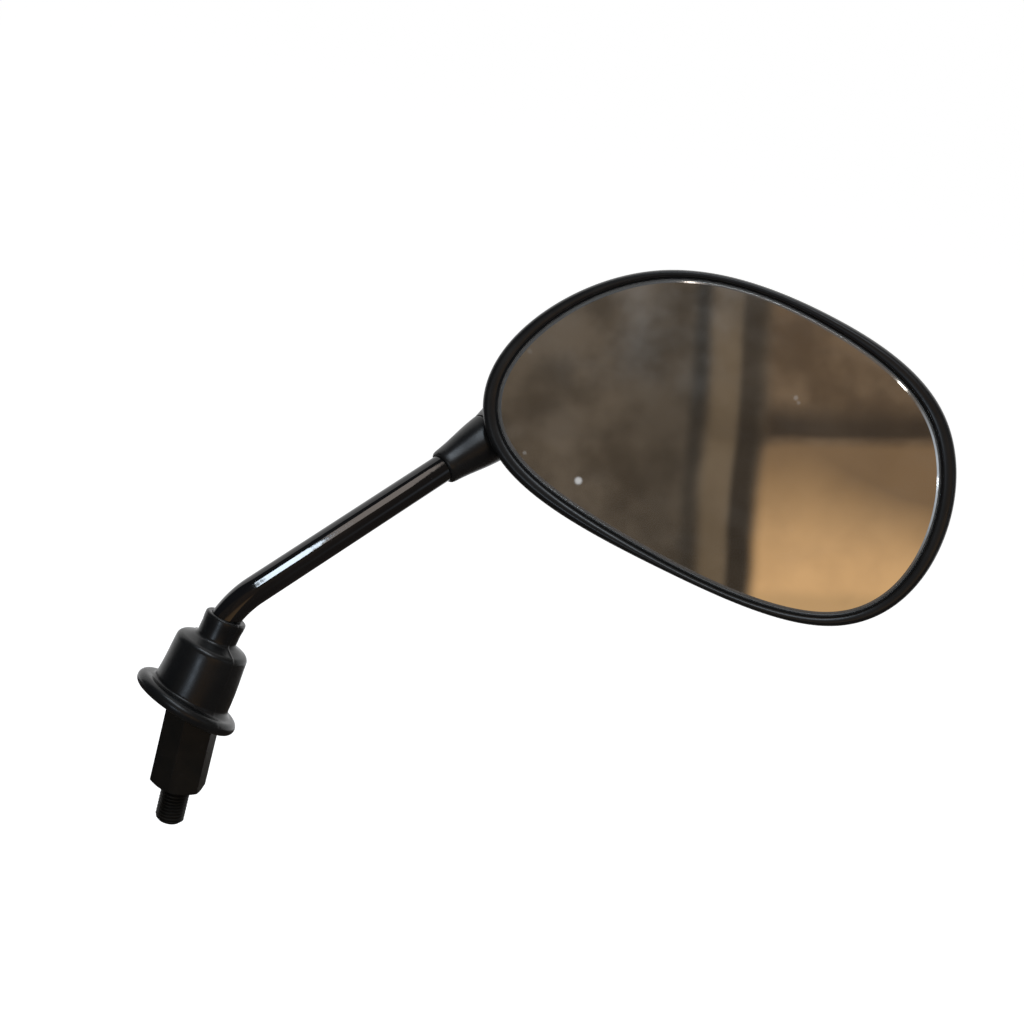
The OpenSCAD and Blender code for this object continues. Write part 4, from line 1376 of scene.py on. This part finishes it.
def pale_card(level, end, azimuths, elevations, distance):
    """A pale card at the right that fades to its edges; the mirror's bevel catches it."""
    material, g = glow_material("Pale card")
    fade = g.node("ShaderNodeAttribute", attribute_name="fade")
    power = g.math("MULTIPLY", fade.outputs["Fac"], level)
    shine = g.node("ShaderNodeEmission", (0.66, 0.74, 0.84, 1.0), power)
    clear = g.node("ShaderNodeBsdfTransparent")
    mixed = g.node("ShaderNodeMixShader", fade.outputs["Fac"], clear.outputs[0], shine.outputs[0])
    g.node("ShaderNodeOutputMaterial", mixed.outputs[0])
    columns, rows = 13, 21
    points, fades = [], []
    for j in range(rows):
        up = math.radians(elevations[0] + (elevations[1] - elevations[0]) * j / (rows - 1))
        for k in range(columns):
            a = math.radians(azimuths[0] + (azimuths[1] - azimuths[0]) * k / (columns - 1))
            points.append(round_about(end, distance, up, a))
            fades.append(math.sin(math.pi * k / (columns - 1)) * math.sin(math.pi * j / (rows - 1)) ** 0.6)
    card = reflected_only("pale_card", points, sheet_faces(rows, columns), material)
    card.data.attributes.new("fade", "FLOAT", "POINT").data.foreach_set("value", fades)
    return card


def room_screen(level):
    """A dim warm screen behind the camera: soft upright bars, a shelf line and a glow at the lower right."""
    material, g = glow_material("Dim room")
    here = g.node("ShaderNodeTexCoord").outputs["Object"]

    def cloud(scale, detail):
        made = g.node("ShaderNodeTexNoise", here)
        made.inputs["Scale"].default_value = scale
        made.inputs["Detail"].default_value = detail
        return made.outputs

    def vector(operation, first, second):
        return g.node("ShaderNodeVectorMath", first, second, operation=operation).outputs[0]

    wander = vector("SUBTRACT", cloud(3.0, 3.0)["Color"], (0.5, 0.5, 0.5))
    bent = vector("ADD", here, vector("MULTIPLY", wander, (0.03, 0.05, 0.0)))
    place = g.node("ShaderNodeSeparateXYZ", bent)
    x, y = place.outputs["X"], place.outputs["Y"]

    def step(value, low, high):
        return g.spread(value, low, high, smooth=True)

    def band(value, low, high, soft_low, soft_high=None):
        soft_high = soft_low if soft_high is None else soft_high
        up = step(value, low - soft_low, low + soft_low)
        down = step(value, high - soft_high, high + soft_high)
        return g.math("MULTIPLY", up, g.math("SUBTRACT", 1.0, down))

    def times(*values):
        made = values[0]
        for value in values[1:]:
            made = g.math("MULTIPLY", made, value)
        return made

    slanted = g.math("ADD", x, g.math("MULTIPLY", y, -0.067))
    mottle = step(cloud(7.0, 5.0)["Fac"], 0.34, 0.66)
    colour = g.blend(mottle, (0.088, 0.066, 0.045), (0.165, 0.128, 0.092))
    colour = g.blend(times(band(slanted, -0.20, -0.05, 0.07, 0.01), 0.32), colour, (0.055, 0.044, 0.032))
    pane = times(band(slanted, -0.032, 0.030, 0.018), step(y, 0.5, 0.1), 0.5)
    colour = g.blend(pane, colour, (0.28, 0.20, 0.12))
    right = step(slanted, 0.066, 0.112)
    upper = g.blend(mottle, (0.135, 0.088, 0.052), (0.235, 0.158, 0.095))
    colour = g.blend(right, colour, upper)
    fall = g.math("SUBTRACT", step(y, 0.02, -0.30), times(step(x, 0.15, 0.55), step(y, -0.36, -0.02), 0.62))
    glow = times(right, g.math("MAXIMUM", fall, 0.0), g.math("ADD", times(mottle, 0.2), 0.86))
    colour = g.blend(times(right, step(y, 0.012, -0.012), 0.8), colour, (0.30, 0.185, 0.095))
    colour = g.blend(glow, colour, (0.95, 0.58, 0.27))
    colour = g.blend(times(right, band(y, -0.40, -0.315, 0.02), 0.35), colour, (0.42, 0.29, 0.14))
    shelf = times(g.math("ADD", times(right, 0.66), 0.14), band(y, 0.016, 0.075, 0.010, 0.035))
    colour = g.blend(shelf, colour, (0.050, 0.036, 0.025))
    depth = g.math("ADD", times(step(y, -0.2, 0.25), 0.35), 0.42)
    first_bar = times(band(slanted, -0.072, -0.040, 0.014), depth)
    colour = g.blend(first_bar, colour, (0.030, 0.026, 0.021))
    depth = g.math("ADD", times(step(y, 0.25, -0.1), 0.25), 0.58)
    second_bar = times(band(slanted, 0.032, 0.078, 0.010, 0.020), depth)
    colour = g.blend(second_bar, colour, (0.038, 0.028, 0.019))
    shine = g.node("ShaderNodeEmission", colour, level)
    g.node("ShaderNodeOutputMaterial", shine.outputs[0])
    corners = [(-1.6, -1.3, 0), (1.6, -1.3, 0), (1.6, 1.0, 0), (-1.6, 1.0, 0)]
    return reflected_only("dim_screen", corners, [(0, 1, 2, 3)], material)


class MIRROR_OT_stage(bpy.types.Operator):
    """Sets up the floor, the light, the dim screen and the camera"""

    bl_idname = "mirror.stage"
    bl_label = "Stage"

    def execute(self, context):
        s = Settings(context.scene)
        stage, stem, head = s.stage, s.stem, s.head
        scene = context.scene
        level = -s.adapter.stud_length - stage.floor_drop
        mesh = bpy.data.meshes.new("floor")
        wide = 14.0
        corners = [(-wide, -wide, level), (wide, -wide, level), (wide, wide, level), (-wide, wide, level)]
        mesh.from_pydata(corners, [], [(0, 1, 2, 3)])
        floor_material, g = glow_material("Pale floor")
        matt = g.node("ShaderNodeBsdfDiffuse", (*stage.floor_colour, 1.0))
        missing = g.math("MULTIPLY", clean_rays(g), 1.0 - stage.ambient * stage.floor_colour[0])
        lift = g.node("ShaderNodeEmission", (1.0, 1.0, 1.0, 1.0), missing)
        both = g.node("ShaderNodeAddShader", matt.outputs[0], lift.outputs[0])
        g.node("ShaderNodeOutputMaterial", both.outputs[0])
        mesh.materials.append(floor_material)
        floor = bpy.data.objects.new("floor", mesh)
        scene.collection.objects.link(floor)

        world = scene.world or bpy.data.worlds.new("Studio")
        scene.world = world
        world.use_nodes = True
        world.node_tree.nodes.clear()
        g = Graph(world.node_tree)
        strength = g.spread(clean_rays(g), 0.0, 1.0, stage.ambient, 1.0)
        back = g.node("ShaderNodeBackground", (1.0, 1.0, 1.0, 1.0), strength)
        g.node("ShaderNodeOutputWorld", back.outputs[0])

        aim, foot, end = (0.05, 0.03, 0.10), (0, 0, 0.04), (0.229, 0.03, 0.14)
        across_rod = (-0.75, 0.66, 0)
        cool, warm, blue = (0.76, 0.88, 1.0), (1.0, 0.88, 0.80), (0.72, 0.85, 1.0)
        softbox("cool softbox", (0.058, -0.485, 1.05), aim, (0.075, 0.75), stage.key_power, cool, across_rod)
        softbox("warm softbox", (0.110, -0.385, 1.05), aim, (0.12, 0.75), stage.warm_power, warm, across_rod)
        softbox("boot light", (-0.24, -0.97, 0.0), foot, (0.06, 0.14), stage.boot_power, blue)
        softbox("edge lamp", (1.27, -0.42, 0.50), end, (0.05, 0.06), stage.edge_power, (0.85, 0.93, 1.0))
        softbox("corner lamp", (0.80, -0.29, 1.17), end, (0.09, 0.07), stage.corner_power, (1.0, 0.97, 0.90))
        card = pale_card(stage.card_level, end, (52, 76), (-10, 52), 1.25)

        face = head_frame(stem, head)
        normal = (face.to_3x3() @ Vector((0, 0, 1))).normalized()
        look = turned("X", math.radians(90 - CAMERA_DOWN)) @ turned("Z", math.radians(CAMERA_ROLL))
        screen = room_screen(stage.room_level)
        right = look.to_3x3() @ Vector((1, 0, 0))
        right = (right - normal * right.dot(normal)).normalized()
        up = normal.cross(right)
        basis = Matrix((right, up, normal)).transposed().to_4x4()
        screen.matrix_world = Matrix.Translation(face.translation + normal * 1.6) @ basis
        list(dim_surround(stage.tent_level, level))

        camera_data = bpy.data.cameras.new("camera")
        camera_data.lens = CAMERA_LENS
        camera_data.sensor_width = 36.0
        camera_data.clip_start, camera_data.clip_end = 0.01, 100.0
        camera = bpy.data.objects.new("camera", camera_data)
        camera.location = CAMERA_SPOT
        camera.rotation_euler = look.to_euler()
        scene.collection.objects.link(camera)
        scene.camera = camera
        scene.view_settings.view_transform = "Standard"
        return {"FINISHED"}


class MIRROR_PT_panel(bpy.types.Panel):
    """Lists the mirror's sizes and the steps that build it"""

    bl_idname = "MIRROR_PT_panel"
    bl_label = "Motorcycle Mirror"
    bl_space_type = "VIEW_3D"
    bl_region_type = "UI"
    bl_category = "Mirror"

    def draw(self, context):
        for key, group in GROUPS.items():
            box = self.layout.box()
            box.label(text=group.__doc__)
            for name in group.__annotations__:
                box.prop(getattr(context.scene, key), name)
        for step in STEPS:
            self.layout.operator(step.bl_idname)


STEPS = (
    MIRROR_OT_stage, MIRROR_OT_adapter, MIRROR_OT_stem, MIRROR_OT_boot, MIRROR_OT_gaiter,
    MIRROR_OT_housing, MIRROR_OT_glass, MIRROR_OT_seal, MIRROR_OT_inner_pieces,
)
CLASSES = (*GROUPS.values(), *STEPS, MIRROR_PT_panel)


def register():
    for cls in CLASSES:
        bpy.utils.register_class(cls)
    for key, group in GROUPS.items():
        setattr(bpy.types.Scene, key, PointerProperty(type=group))


def unregister():
    for key in GROUPS:
        delattr(bpy.types.Scene, key)
    for cls in reversed(CLASSES):
        bpy.utils.unregister_class(cls)


def main():
    register()
    for step in STEPS:
        group, name = step.bl_idname.split(".")
        getattr(getattr(bpy.ops, group), name)()


if __name__ == "__main__":
    main()
